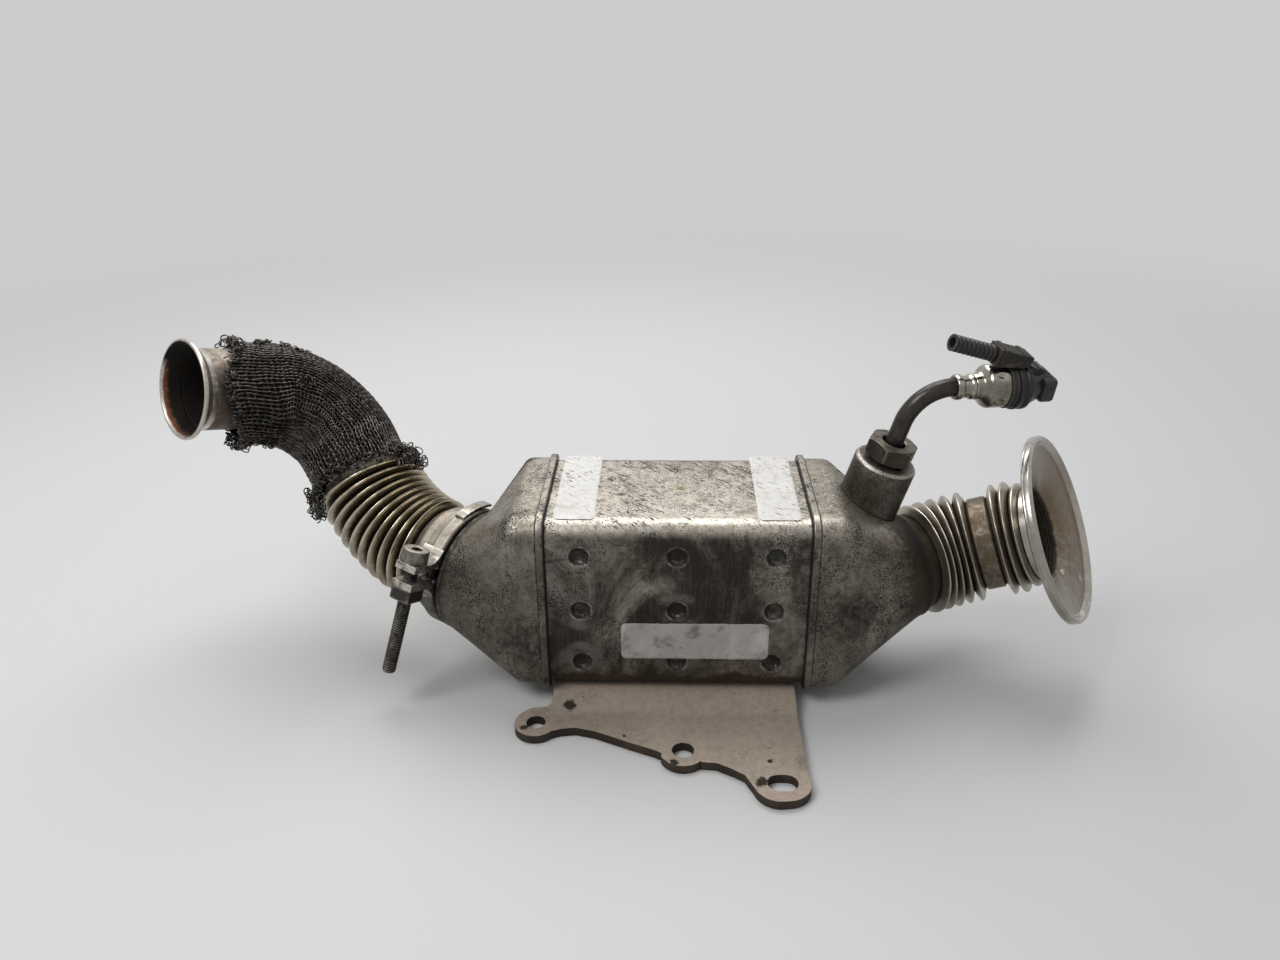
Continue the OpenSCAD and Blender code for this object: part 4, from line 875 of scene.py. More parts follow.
# bellows
inletBellows = {"tube": 19.3, "rise": 5.4, "waves": 5, "waves2": 3, "lastRise": 0.66, "round": 0.46,
                "wall": 0.8, "valley": (0.62, 1.0), "around": 120, "samples": 18, "sleeveRise": 1.2,
                "sleeveDirt": 0.27, "sleeveRows": (0.06, 0.1, 0.14, 0.2, 0.5, 0.8, 0.86, 0.9, 0.94)}
outletBellows = {"tube": 20.0, "rise": 5.0, "waves": 10, "round": 0.8, "wall": 0.8, "valley": (0.34, 0.80),
                 "around": 120, "samples": 16}
insideDirtAndShade = 0.62


def bentSpot(at, pathPoint, s, r, t):
    centre, a = pathPoint(s)
    return at @ (centre + Vector((math.cos(t) * math.cos(a), math.sin(t), -math.cos(t) * math.sin(a))) * r)


def bentShell(at, path, rows, wall, around):  # outer rings, then the inner ones back
    rings = []
    for shrink in (0.0, wall):
        part = [[bentSpot(at, path, row[0], row[1] - shrink, math.tau * j / around) for j in range(around)]
                for row in rows]
        rings += part if shrink == 0.0 else part[::-1]
    return skin(rings, loopRings=True)


def inletPath(s):
    run = inletRun
    first = run["radius1"] * math.radians(run["bend1"])
    a = min(s / run["radius1"], math.radians(run["bend1"]))
    straight = max(0.0, min(s - first, run["sleeve"]))
    b = max(0.0, s - first - run["sleeve"]) / run["radius2"]
    start = Vector((run["radius1"] * (1 - math.cos(a)), 0, run["radius1"] * math.sin(a)))
    rest = Vector((run["radius2"] * (1 - math.cos(b)), 0, straight + run["radius2"] * math.sin(b)))
    return start + turn("Y", math.degrees(a)) @ rest, a + b


def outletPath(s):
    a = s / outletRun["radius"]
    return Vector((outletRun["radius"] * (1 - math.cos(a)), 0, outletRun["radius"] * math.sin(a))), a


def waveRows(start, length, waves, spec, lastRise=1.0):
    rows, count = [], waves * spec["samples"]
    for i in range(count + 1):
        wave = (0.5 - 0.5 * math.cos(math.tau * i / spec["samples"])) ** spec["round"]
        rise = spec["rise"] * (lastRise if i > count - spec["samples"] else 1.0)
        rows.append((start + length * i / count, spec["tube"] + rise * wave, wave))
    return rows


def buildBellows(name, at, path, rows, spec, finishName, slot, node):
    deep, full = spec["valley"]

    def depth(i):  # how deep the point lies between two ridges
        row = i // spec["around"]
        return 1.0 - rows[row][2] if row < len(rows) else insideDirtAndShade

    shape = bentShell(at, path, rows, spec["wall"], spec["around"])
    addPiece(name, shape, finishName, slot, [node], sharp=60,
             # valleys between the ridges and the inner wall go dark and brown: dirt with painted shade
             paint={"dirtAndShade": lambda i, p: ease(depth(i), deep, full),
                    "rust": lambda i, p: 0.85 * ease(depth(i), deep - 0.25, full - 0.2)})


def inletRows(spec):
    first = inletRun["radius1"] * math.radians(inletRun["bend1"])
    second = inletRun["radius2"] * math.radians(inletRun["bend2"])
    rows = waveRows(0.0, first, spec["waves"], spec)
    for u in spec["sleeveRows"]:
        rise = spec["sleeveRise"] * ease(min(u, 1 - u), 0.0, 0.14)
        rows.append((first + inletRun["sleeve"] * u, spec["tube"] + rise, spec["sleeveDirt"]))
    return rows + waveRows(first + inletRun["sleeve"], second, spec["waves2"], spec, spec["lastRise"])


buildBellows("inlet_bellows_sheet", inletBendAt, inletPath, inletRows(inletBellows), inletBellows,
             "bellowsSteel", "bellows_steel", "inlet_bellows")
outletArc = outletRun["radius"] * math.radians(outletRun["bend"])
outletRows = waveRows(0.0, outletArc, outletBellows["waves"], outletBellows)
buildBellows("outlet_bellows_sheet", outletBendAt, outletPath, outletRows, outletBellows,
             "tintedSteel", "tinted_bellows", "outlet_bellows")
print("bellows made")


# painted dirt, rust and painted shade of the turned pieces, by radius, height and angle
def dishTintAndReflection(r, z, t):
    inDish = r < 37.0 and z > min(0.24 * r + 0.6, 0.9 * r - 13.9)
    # a tan tint over the dish, darker towards one side as a painted reflection
    return 0.85 + 0.15 * math.cos(t + 1.33) if inDish else 0.0


def inMouth(r, z):
    return r < 0.556 * z + 16.5


def mouthShadeAndLight(r, z, t):
    # painted shade inside the mouth, with a painted lit patch on one side
    lit = ease(r, 18.4, 20.2) * ease(math.cos(t + 1.6), 0.1, 0.8)
    return 1 - lit if z > 0.4 and inMouth(r, z) else 0.0


def mouthRust(r, z, t):
    if z < 7.6 and inMouth(r, z):
        return 0.9
    return 0.5 if 18.9 < r < 20.6 and z < 6 else 0.0


# turned rings, pipes and flanges: (radius, height) corners, and how far each corner is rounded
turned = {
    "inlet_collar": dict(
        node="inlet_neck", at=inletAt, finish="neckBurnt", slot="boss_steel", cut=0.8,
        line=[(18.5, 0), (23.2, 0), (22.6, 1.6), (20.9, 5.2), (20.3, 6.4), (18.5, 6.4)]),
    "inlet_end_flange": dict(
        node="inlet_flange", at=inletHubAt, finish="flangeSteel", slot="bright_flange", cut=0.45,
        line=[(18.5, 0), (20.3, 0), (20.3, 3.2), (22.5, 5.2), (30, 7.0), (36, 8), (38, 7.5), (41, 8.5),
              (41, 9.3), (40.8, 9.5), (41, 9.7), (41, 11.5), (40.1, 12.5), (39.4, 12.5), (38.6, 12.0),
              (37.4, 10.4), (36.0, 9.9), (33.0, 9.4), (29.0, 8.6), (25.0, 7.6), (22.0, 6.5), (20.0, 5.0),
              (18.9, 3.4), (18.5, 2.0)],
        # painted shade in the bore
        dirtAndShade=lambda r, z, t: 0.9 - 0.9 * ease(r, 18.6, 19.8) if z > 1 else 0.0, rust=dishTintAndReflection),
    "outlet_joint_collar": dict(
        node="outlet_collar", at=outletAt, finish="coneSteel", slot="diffuser_steel", cut=0.5,
        line=[(19.2, 0), (21.7, 0), (21.7, 3.6), (25.7, 3.6), (25.7, 5.1), (19.2, 5.1)],
        # painted shade under the clamp band
        dirtAndShade=lambda r, z, t: 0.9),
    "outlet_joint_cuff": dict(
        node="outlet_cuff", at=outletAt, finish="pipeSteel", slot="pipe_steel", cut=0.9,
        line=[(19.2, 6.1), (25.7, 6.1), (25.7, 7.6), (23.7, 7.6), (23.7, 13.2), (23.7, 17.0), (21.5, 20.2),
              (21.2, 21), (19.2, 21)],
        # painted shade under the clamp band and at the joint with the bellows
        dirtAndShade=lambda r, z, t: 0.85 if z < 13.0 or z > 20.4 else 0.0),
    "elbow_lead": dict(
        node="elbow_lead_pipe", at=elbowAt, finish="pipeSteel", slot="pipe_steel", cut=0.6,
        line=[(16.5, 0), (20, 0), (20, 4), (18, 4), (18, 18), (16.5, 18)]),
    "outlet_tail": dict(
        node="tail_pipe", at=tailAt, finish="pipeSteel", slot="pipe_steel", cut=0.4,
        line=[(16.5, 0), (18, 0), (18, 10), (18, 20), (18, 25), (18, 29), (16.5, 29)],
        # painted shade on the inner wall; rust near the flange
        dirtAndShade=lambda r, z, t: 1.0 if r < 17 else 0.0, rust=lambda r, z, t: 0.5 if z > 24 and r > 17 else 0.0),
    "outlet_end_flange": dict(
        node="outlet_flange", at=tailAt @ shift(0, 0, outletRun["tail"]), finish="mouthSteel",
        slot="bright_flange", cut=0.35, dirtAndShade=mouthShadeAndLight, rust=mouthRust,
        line=[(16.5, 0), (18, 0), (18.6, 3.2), (19.6, 4.4), (20.8, 5.6), (22, 6.4), (22, 7.6), (21.6, 8),
              (20.5, 8), (19.6, 6.4), (18.2, 3.9), (16.5, 0.8)]),
    "stem_crimp": dict(
        node="stem_ferrule", at=stemEndAt, finish="plugSteel", slot="sensor_steel", cut=0.4,
        line=[(3.8, 0), (4.8, 0), (5.3, 0.8), (5.3, 2.6), (4.6, 3.1), (4.6, 6.2), (5.3, 6.8), (5.3, 8),
              (3.8, 8)]),
    "plug_shell": dict(
        node="plug_sleeve", at=stemEndAt, finish="plugSteel", slot="sensor_steel", cut=0.8,
        dent=(17.4, 1.7, 5, 0.6),  # height, spread, count, depth
        line=[(0.4, 8), (5.3, 8), (5.7, 11), (8.3, 12.8), (9.1, 14), (9.1, 15), (9.1, 16), (9.1, 17),
              (9.1, 18), (9.1, 19), (9.1, 20.8), (8.7, 21.5), (0.4, 21.5)]),
    "plug_ring": dict(
        node="plug_seal", at=stemEndAt, finish="sealRubber", slot="seal_rubber", cut=0.3,
        line=[(0.4, 21.5), (9.1, 21.5), (9.5, 21.9), (9.5, 22.8), (9.0, 23.1), (9.0, 23.5), (9.5, 23.8),
              (9.5, 24.7), (9.1, 25), (0.4, 25)]),
}
portLine = [(6.5, 0), (8, 0), (8, 1.5), (10, 1.5), (10, 3.5), (8, 4.5), (8, 22.5), (9, 23.5), (9, 24.5),
            (8, 26.5), (8, 29.5), (6.5, 29.5)]
for name, s in (("coolant_inlet_pipe", -1), ("coolant_outlet_pipe", 1)):
    portAt = caseAt @ shift(s * coolerBody["portX"], coolerBody["portSeat"],
                            coolerBody["middleZ"] + s * coolerBody["portZ"]) @ turn("X", -90)
    turned[name.replace("pipe", "stub")] = dict(
        node=name, at=portAt, finish="pipeSteel", slot="stained_steel", cut=0.8, line=portLine,
        # painted shade in the bore and in the groove under the bead
        dirtAndShade=lambda r, z, t: 0.9 if r < 7 or 3.8 < z < 5 else 0.0)


def buildTurned(name, spec):
    back, dent, paint = spec["at"].inverted(), None, {}
    if "dent" in spec:
        middle, spread, count, deep = spec["dent"]

        def dent(t, z):
            return deep * math.exp(-((z - middle) / spread) ** 2) * max(0.0, math.cos(count * t)) ** 4

    for label in ("dirtAndShade", "rust"):
        if label in spec:
            def rule(i, p, wanted=spec[label]):
                q = back @ p
                return wanted(math.hypot(q.x, q.y), q.z, math.atan2(q.y, q.x))

            paint[label] = rule
    shape = lathe(softProfile(spec["line"], spec["cut"]), spec["at"], 128, dent)
    addPiece(name, shape, spec["finish"], spec["slot"], [spec["node"]], sharp=45, paint=paint)


for name, spec in turned.items():
    buildTurned(name, spec)


# elbow of the outlet pipe
elbowPipe = {"radius": 18.0, "wall": 1.5, "rows": 24, "around": 72}


def elbowPath(s):
    run = outletRun
    a = min(max(0.0, s - run["lead"]) / run["elbowRadius"], math.radians(run["elbow"]))
    rest = max(0.0, s - run["lead"] - run["elbowRadius"] * math.radians(run["elbow"]))
    return Vector((run["elbowRadius"] * (1 - math.cos(a)) + rest * math.sin(a), 0,
                   min(s, run["lead"]) + run["elbowRadius"] * math.sin(a) + rest * math.cos(a))), a


def buildElbow(spec):
    arcLength = outletRun["elbowRadius"] * math.radians(outletRun["elbow"])
    count = spec["rows"]
    rows = [(outletRun["lead"] + arcLength * i / count, spec["radius"]) for i in range(count + 1)]
    addPiece("outlet_elbow", bentShell(elbowAt, elbowPath, rows, spec["wall"], spec["around"]), "pipeSteel",
             "pipe_steel", ["elbow_pipe"])


buildElbow(elbowPipe)
print("pipes and flanges made")


# knitted wire sleeve over the elbow, slack inside the bend, with frayed ends
knitSleeve = {
    "start": 4.0, "length": 86.77, "radius": 20.4, "slack": 7.0, "skew": 7.0, "skewTurn": 58.0,
    "under": 19.95, "underRows": 70, "underAround": 96, "tuck": 1.6,
    "wales": 40, "courses": 36, "steps": 9, "wire": 0.44, "reach": 1.05, "lean": 0.11, "depth": 0.46,
    "frayWire": 0.30, "frayRadius": 21.0, "bellowsClear": 23.4, "tailClear": 19.4,
    # tufts: middle and spread in degrees, count, reach, size
    "bellowsTufts": [(-38, 40, 80, 9.0, 2.6), (122, 26, 75, 9.0, 2.6), (35, 80, 90, 4.0, 2.0),
                     (-150, 50, 20, 2.0, 1.4)],
    "tailTufts": [(140, 30, 26, 2.6, 2.0), (-22, 30, 30, 3.0, 2.0), (60, 110, 60, 1.8, 1.5)],
    "looseWire": (22.0, -62), "snagRadius": 21.2,
    "snags": [(60.0, 70, 12), (64.0, 128, 14), (76.0, 136, 16), (74.0, -14, 14), (84.0, -8, 12)],
}


def knitSpot(spec, s, r, t):
    u = min(1.0, max(0.0, (s - spec["start"]) / spec["length"]))
    drawn = max(0.0, math.cos(t - math.radians(spec["skewTurn"]))) ** 2
    s = max(0.4, s + spec["skew"] * u ** 4 * (2 * drawn - 0.8))
    r += spec["slack"] * (0.6 + 0.4 * math.sin(math.pi * u)) * max(0.0, math.cos(t)) ** 2
    spot = bentSpot(elbowAt, elbowPath, s, r, t)
    return spot, spot - elbowAt @ elbowPath(s)[0]


# a near-black sheet just under the wires: painted shade in the gaps of the knit
def knitShadeBacking(spec):
    rows, around = spec["underRows"], spec["underAround"]
    rings = []
    for i in range(rows + 1):
        s = spec["start"] + spec["length"] * i / rows
        r = spec["under"] - (spec["tuck"] if i in (0, rows) else 0)
        rings.append([knitSpot(spec, s, r, math.tau * j / around)[0] for j in range(around)])
    addPiece("knit_gap_shade", skin(rings), "knitGapShade", "knit_wire", ["mesh_sleeve"])


def knitCourse(spec, k):  # one row of loops round the sleeve
    spacing = spec["length"] / spec["courses"]
    path, out = [], []
    for i in range(spec["wales"] * spec["steps"]):
        u = i / spec["steps"]
        t = math.tau * (u + spec["lean"] * math.sin(2 * math.tau * u)) / spec["wales"]
        s = spec["start"] + (k + 0.5) * spacing + spec["reach"] * spacing * math.cos(math.tau * u)
        r = spec["radius"] - spec["depth"] * math.cos(2 * math.tau * u)
        shake = noise.noise_vector(Vector((3 * math.cos(t), 3 * math.sin(t), s * 0.09)))
        jitter = noise.noise_vector(Vector((17 * math.cos(t), 17 * math.sin(t), k * 1.7)))
        spot, arm = knitSpot(spec, s + shake.x * 2.0 + jitter.x * 0.5, r + shake.z * 0.25 + jitter.z * 0.15,
                             t + shake.y * 0.07 + jitter.y * 0.02)
        path.append(spot)
        out.append(arm.normalized())
    return tube(path, spec["wire"], 5, True, out)


def buildKnit(spec):
    knitShadeBacking(spec)
    courses = [knitCourse(spec, k) for k in range(spec["courses"])]
    half = spec["courses"] // 2
    for name, parts in (("knit_near_bellows", courses[:half]), ("knit_near_tail", courses[half:])):
        addPiece(name, joined(parts), "knitWire", "knit_wire", sharp=80)


def curl(rng, base, out, along, size):
    side = out.cross(along)
    a = out * rng.uniform(0.4, 1.0) + along * rng.uniform(-0.6, 0.9) + side * rng.uniform(-0.7, 0.7)
    a.normalize()
    b = (side * rng.uniform(-1, 1) + along * rng.uniform(-1, 1)).normalized()
    b = (b - a * b.dot(a)).normalized()
    turns = rng.uniform(0.7, 1.5)
    drift = (out * rng.uniform(-0.2, 0.8) + along * rng.uniform(-0.4, 1.2)) * size * 0.8
    path = []
    for i in range(15):
        u = i / 14
        w = math.tau * turns * u
        path.append(base + a * size * (1 - math.cos(w)) * 0.62 + b * size * math.sin(w) + drift * u)
    return path


def frayTuft(spec, rng, s, along, clear, tuft):
    middle, spread, count, reach, size = tuft
    parts = []
    for _ in range(count):
        t = math.radians(rng.gauss(middle, spread * 0.55))
        past = rng.uniform(-2.0, reach)
        spot, arm = knitSpot(spec, s, spec["frayRadius"], t)
        out = arm.normalized()
        base = spot + along * past
        lift = 0.75 * reach * rng.random() * rng.random()
        if past > 0.5:  # ends that reach over the next piece lie on it
            lift = max(lift, clear - arm.length)
        path = curl(rng, base + out * lift, out, along, rng.uniform(0.6, 1.0) * size)
        parts.append(tube(path, spec["frayWire"], 5))
    return parts


def looseWire(spec, s, along):
    radius, degrees = spec["looseWire"]
    spot, arm = knitSpot(spec, s, radius, math.radians(degrees))
    out = arm.normalized()
    side = out.cross(along)
    path = []
    for i in range(21):
        u = i / 20
        path.append(spot + out * (2 + 9 * u - 3 * u * u) + along * (2 + 6 * math.sin(2.4 * u)) + side * 7 * u)
    return tube(path, spec["frayWire"], 5)


def buildFray(spec):
    rng = random.Random(11)
    ahead = elbowAt.to_3x3() @ Vector((0, 0, 1))
    behind = (tailAt.to_3x3() @ Vector((0, 0, 1))).normalized()
    start, stop = spec["start"], spec["start"] + spec["length"]
    near, far, snags = [], [], []
    for tuft in spec["bellowsTufts"]:
        near += frayTuft(spec, rng, start, -ahead, spec["bellowsClear"], tuft)
    near.append(looseWire(spec, start, -ahead))
    for tuft in spec["tailTufts"]:
        far += frayTuft(spec, rng, stop, behind, spec["tailClear"], tuft)
    for s, degrees, count in spec["snags"]:
        for _ in range(count):
            t = math.radians(degrees + rng.uniform(-7, 7))
            spot, arm = knitSpot(spec, s + rng.uniform(-5, 5), spec["snagRadius"], t)
            out = arm.normalized()
            path = curl(rng, spot, out, out.orthogonal(), rng.uniform(0.7, 1.3))
            snags.append(tube(path, spec["frayWire"], 5))
    for name, parts in (("knit_fray_bellows", near), ("knit_fray_tail", far), ("knit_snags", snags)):
        addPiece(name, joined(parts), "knitWire", "knit_wire", sharp=80)


buildKnit(knitSleeve)
buildFray(knitSleeve)
print("knitted sleeve made")


# clamp over the joint lips
clampBand = {
    "line": [(22.7, 2), (26.3, 2), (27.3, 3), (27.3, 8.2), (25.3, 9.2), (25.3, 12.6), (23.7, 12.6),
             (23.7, 7.6), (25.7, 7.6), (25.7, 3.6), (22.7, 3.6)],
    "cut": 0.6, "halfGap": 5.6, "rows": 160,
}
clampEar = {"root": 26.9, "rootTurns": (0.42, 0.34, 0.26), "knee": 29.6, "straight": 33, "out": 42.0,
            "gap": 5.0, "thick": 3.0, "low": 1.6, "high": 12.0}
clampTongue = {"radius": 27.35, "from": 60, "turn": 40, "rows": 60, "lift": 1.3, "wave": 0.4, "thick": 1.2,
               "low": 3.0, "high": 8.0}
clampScrew = {"x": 36.3, "z": 7.3, "headLow": 5.5, "headHigh": 11.5, "headRadius": 5.6, "headAround": 72,
              "tip": -44.5, "tipRows": 8, "tipCut": 0.7, "radius": 3.0, "pitch": 1.0, "depth": 0.5,
              "around": 28, "perTurn": 8, "socket": 2.6, "socketDepth": 3.2}
clampBlock = {"low": (31.3, -11.5, 2.3), "high": (41.3, -5.5, 12.3)}
screwAt = clampAt @ shift(clampScrew["x"], 0, clampScrew["z"]) @ turn("X", -90)  # its z is the clamp's y


def buildBand(spec):
    profile = softProfile(spec["line"], spec["cut"], 3)
    rings = []
    for j in range(spec["rows"] + 1):
        t = math.radians(spec["halfGap"] + (360 - 2 * spec["halfGap"]) * j / spec["rows"])
        rings.append([polar(clampAt, r, t, z) for r, z in profile])
    addPiece("clamp_strap", skin(rings, capStart=True, capEnd=True), "clampSteel", "clamp_steel",
             ["clamp_band"], sharp=45)


def buildEars(spec):
    section = ((-1, spec["low"]), (1, spec["low"]), (1, spec["high"]), (-1, spec["high"]))
    ears = []
    for s in (1, -1):
        middle, root = s * (spec["gap"] + spec["thick"]) / 2, spec["root"]
        line = [Vector((root * math.cos(a), s * root * math.sin(a), 0)) for a in spec["rootTurns"]]
        line += [Vector((spec["knee"], middle * 1.06, 0)), Vector((spec["straight"], middle, 0)),
                 Vector((spec["out"], middle, 0))]
        line = softProfile(line, 2.4, 4, False)
        rows = []
        for i, here in enumerate(line):
            ahead = (line[min(i + 1, len(line) - 1)] - line[max(i - 1, 0)]).normalized()
            across = Vector((-ahead.y, ahead.x, 0))
            thick = spec["thick"] / 2 * min(1.0, 0.5 + 0.5 * i / 8)
            rows.append([clampAt @ (here + across * a * thick + Vector((0, 0, z))) for a, z in section])
        ears.append(skin(rows, capStart=True, capEnd=True))
    addPiece("clamp_ears", joined(ears), "clampSteel", "clamp_steel", bevel=0.6)


def buildTongue(spec):
    low, high, thick = spec["low"], spec["high"], spec["thick"]
    rows = []
    for i in range(spec["rows"] + 1):
        t = math.radians(spec["from"] + spec["turn"] * i / spec["rows"])
        r = spec["radius"] + spec["lift"] * (i / spec["rows"]) ** 2
        wave = spec["wave"] * math.sin(i * 0.5) * noiseAt(i * 0.21, 2, 5)
        section = ((0, low), (thick, low), (thick, high), (0, high))
        rows.append([polar(clampAt, r + dr, t, z + wave) for dr, z in section])
    addPiece("clamp_strap_end", skin(rows, capStart=True, capEnd=True), "clampSteel", "clamp_steel",
             ["clamp_tongue"], bevel=0.35)


def screwThread(spec):
    length, around, tipRows = spec["headLow"] - spec["tip"], spec["around"], spec["tipRows"]
    rows = int(length / spec["pitch"] * spec["perTurn"])
    rings = []
    for i in range(rows + 1):
        z = spec["headLow"] - length * i / rows
        ring = []
        for j in range(around):
            phase = (z / spec["pitch"] + j / around) % 1.0
            r = spec["radius"] - spec["depth"] * min(1.0, max(0.0, 2.4 * abs(phase - 0.5) - 0.1))
            if i > rows - tipRows:
                r = min(r, spec["radius"] - spec["tipCut"] * (1 - (rows - i) / tipRows))
            ring.append(polar(screwAt, r, math.tau * j / around, z))
        rings.append(ring)
    return skin(rings, capStart=True, capEnd=True)


def buildScrew(spec):
    low, high, r, socket = spec["headLow"], spec["headHigh"], spec["headRadius"], spec["socket"]
    outline = softProfile([(0.3, low), (r, low), (r, high), (socket + 0.5, high)], 0.6, 4, False)
    around = spec["headAround"]
    rings = [circle(screwAt, radius, z, around) for radius, z in outline]
    flat, floor = socket * math.cos(math.pi / 6), high - spec["socketDepth"]
    for z, shrink in ((high - 0.3, 0.0), (floor, 0.0), (floor - 0.6, 0.9)):
        rings.append(circle(screwAt, lambda t: hexReach(flat, t + math.pi / 6) - shrink, z, around))
    back = screwAt.inverted()

    def onHead(spot, normal):
        q = back @ spot
        return q.z > low - 0.1 and (math.hypot(q.x, q.y) > socket + 0.2 or q.z > high - 0.2)

    addPiece("clamp_bolt", joined([screwThread(spec), skin(rings, capEnd=True)]), "screwSteel",
             "dark_fastener", ["clamp_screw"], sharp=50, trim=("clampSteel", onHead))


buildBand(clampBand)
buildEars(clampEar)
buildTongue(clampTongue)
buildScrew(clampScrew)
addPiece("clamp_nut_block", boxShape(clampAt, clampBlock["low"], clampBlock["high"]), "screwSteel",
         "dark_fastener", ["clamp_trunnion"], bevel=0.8)
print("clamp made")


# sensor boss on the inlet diffuser, hex nut and bent stem
sensorBoss = {"radius": 13.25, "bore": 7.0, "chamfer": 1.0, "flare": 0.5, "longest": 26.0, "around": 96,
              "brightRows": (4, 5)}
sensorNut = {"flats": 19.0, "low": 1.8, "high": 9.2, "turn": 6.0, "neck": 7.6, "seat": 7.0, "holeRadius": 5.0,
             "holeDepth": 4.0, "slope": 0.55, "chamferRows": 10, "around": 144}
sensorStem = {"radius": 3.8, "sides": 28, "straight": (-6.0, 0.0, 5.0, 10.0, 14.0), "rows": 24,
              "end": (2.0, 4.0, 6.0)}


def buildBoss(spec):
    cone = BVHTree.FromPolygons(*inletShell)
    down = (bossAt.to_3x3() @ Vector((0, 0, -1))).normalized()
    foot, flare = [], []
    for j in range(spec["around"]):
        t = math.tau * j / spec["around"]
        arm = Vector((math.cos(t), math.sin(t), 0))
        for r, store in ((spec["radius"], foot), (spec["radius"] + spec["flare"], flare)):
            hit = cone.ray_cast(bossAt @ (arm * r), down, 60)
            store.append((arm, r, hit[3] if hit[0] is not None else spec["longest"]))
    r, c, bore = spec["radius"], spec["chamfer"], spec["bore"]

    def spot(arm, radius, z):
        return bossAt @ (arm * radius + Vector((0, 0, z)))

    rings = []
    for radius, z in ((bore, -8), (bore, -0.5), (bore + 0.6, 0), (r - c - 0.6, 0), (r - c, -0.15),
                      (r - 0.2, -c), (r, -c - 0.5)):
        rings.append([spot(arm, radius, z) for arm, _, _ in foot])
    for u in (0.25, 0.5, 0.75):
        rings.append([spot(arm, radius, -c - 0.5 - (d - 2.2 - c) * u) for arm, radius, d in foot])
    for store, grow, lift in ((foot, 0.0, 0.9), (foot, 0.15, 0.35), (flare, 0.0, -0.5)):
        rings.append([spot(arm, radius + grow, -d + lift) for arm, radius, d in store])

    # painted shade in the bore; dark along the foot where it meets the cone
    def dirtAndShade(i, p):
        return 1.0 if not 2 <= i // spec["around"] <= 10 else 0.0

    def wipe(i, p):
        return 0.9 if i // spec["around"] in spec["brightRows"] else 0.0

    addPiece("sensor_weld_boss", skin(rings), "bossSteel", "boss_steel", ["sensor_boss"], sharp=50,
             paint={"dirtAndShade": dirtAndShade, "wipe": wipe})


def buildNut(spec):
    flat, slope, low, high = spec["flats"] / 2, spec["slope"], spec["low"], spec["high"]
    hole, deep = spec["holeRadius"], spec["holeDepth"]
    tall = (flat / math.cos(math.pi / 6) - flat + 0.4) * slope
    rings = []

    def ring(reach, z):
        rings.append(circle(bossAt, reach, z, spec["around"]))

    def cutHex(t, inward):  # conical chamfers cut the corners
        return min(hexReach(flat, t - math.radians(spec["turn"])) - 0.02, flat - 0.2 + inward / slope)

    for radius, z in ((spec["seat"], -4.0), (spec["seat"], 0.4), (spec["neck"], 0.6), (spec["neck"], low)):
        ring(radius, z)
    shares = [i / spec["chamferRows"] for i in range(spec["chamferRows"] + 1)]
    for z in [low + tall * u for u in shares]:
        ring(lambda t: cutHex(t, z - low), z)
    for z in [high - tall * (1 - u) for u in shares]:
        ring(lambda t: cutHex(t, high - z), z)
    for radius, drop in ((hole + 0.5, 0), (hole, 0.5), (hole, deep), (3.0, deep)):
        ring(radius, high - drop)
    addPiece("sensor_hex_nut", skin(rings), "nutSteel", "dark_fastener", ["sensor_nut"], sharp=28)


def buildStem(spec):
    run = sensorRun
    path = [bossAt @ Vector((0, 0, z)) for z in (*spec["straight"], run["nutTop"] + run["rise"] - 1.5)]
    for i in range(spec["rows"] + 1):
        bent = stemBendAt @ bendStep(run["radius"], run["bend"] * i / spec["rows"])
        path.append(bent @ Vector((0, 0, 0)))
    path += [stemEndAt @ Vector((0, 0, z)) for z in spec["end"]]
    path = [p + wobble(p, 9.0, 0.12) for p in path]
    addPiece("sensor_stem_tube", tube(path, spec["radius"], spec["sides"]), "stemSteel", "dark_stem",
             ["sensor_stem"], sharp=60)


buildBoss(sensorBoss)
buildNut(sensorNut)
buildStem(sensorStem)
print("sensor made")


# harness plug, latch, clip and the cut conduit
harnessPlug = {
    "collar": [(0.4, 25), (9.8, 25), (10.2, 25.4), (10.2, 26.8), (9.6, 27.2), (9.6, 28.2), (10.2, 28.6),
               (10.2, 30.1), (9.8, 30.5), (9.1, 30.5), (6.6, 36.4), (6.2, 37), (0.4, 37)],
    "cap": (36.2, 42.5), "capHigh": 10.5, "capWide": 15.0, "capRound": 1.8, "ribs": 6, "ribDepth": 0.6,
}
plugLatch = {"place": (-10.0, 0, 30.6), "tilt": 20.6, "arm": ((-0.2, -3.6, 0.0), (2.4, 3.6, 6.6)),
             "lip": ((-0.9, -4.0, 4.6), (1.2, 4.0, 7.0))}
conduitClip = {"length": 16.0, "high": 3.8, "wide": 4.5, "ribRise": 0.35, "ribs": ((2.0, 4.0), (11.5, 14.0)),
               "hollow": 3.3}
conduitStub = {"radius": 3.5, "groove": 0.65, "length": 20.0, "rings": 10, "perRing": 8, "wall": 1.2,
               "inClip": 1.0}


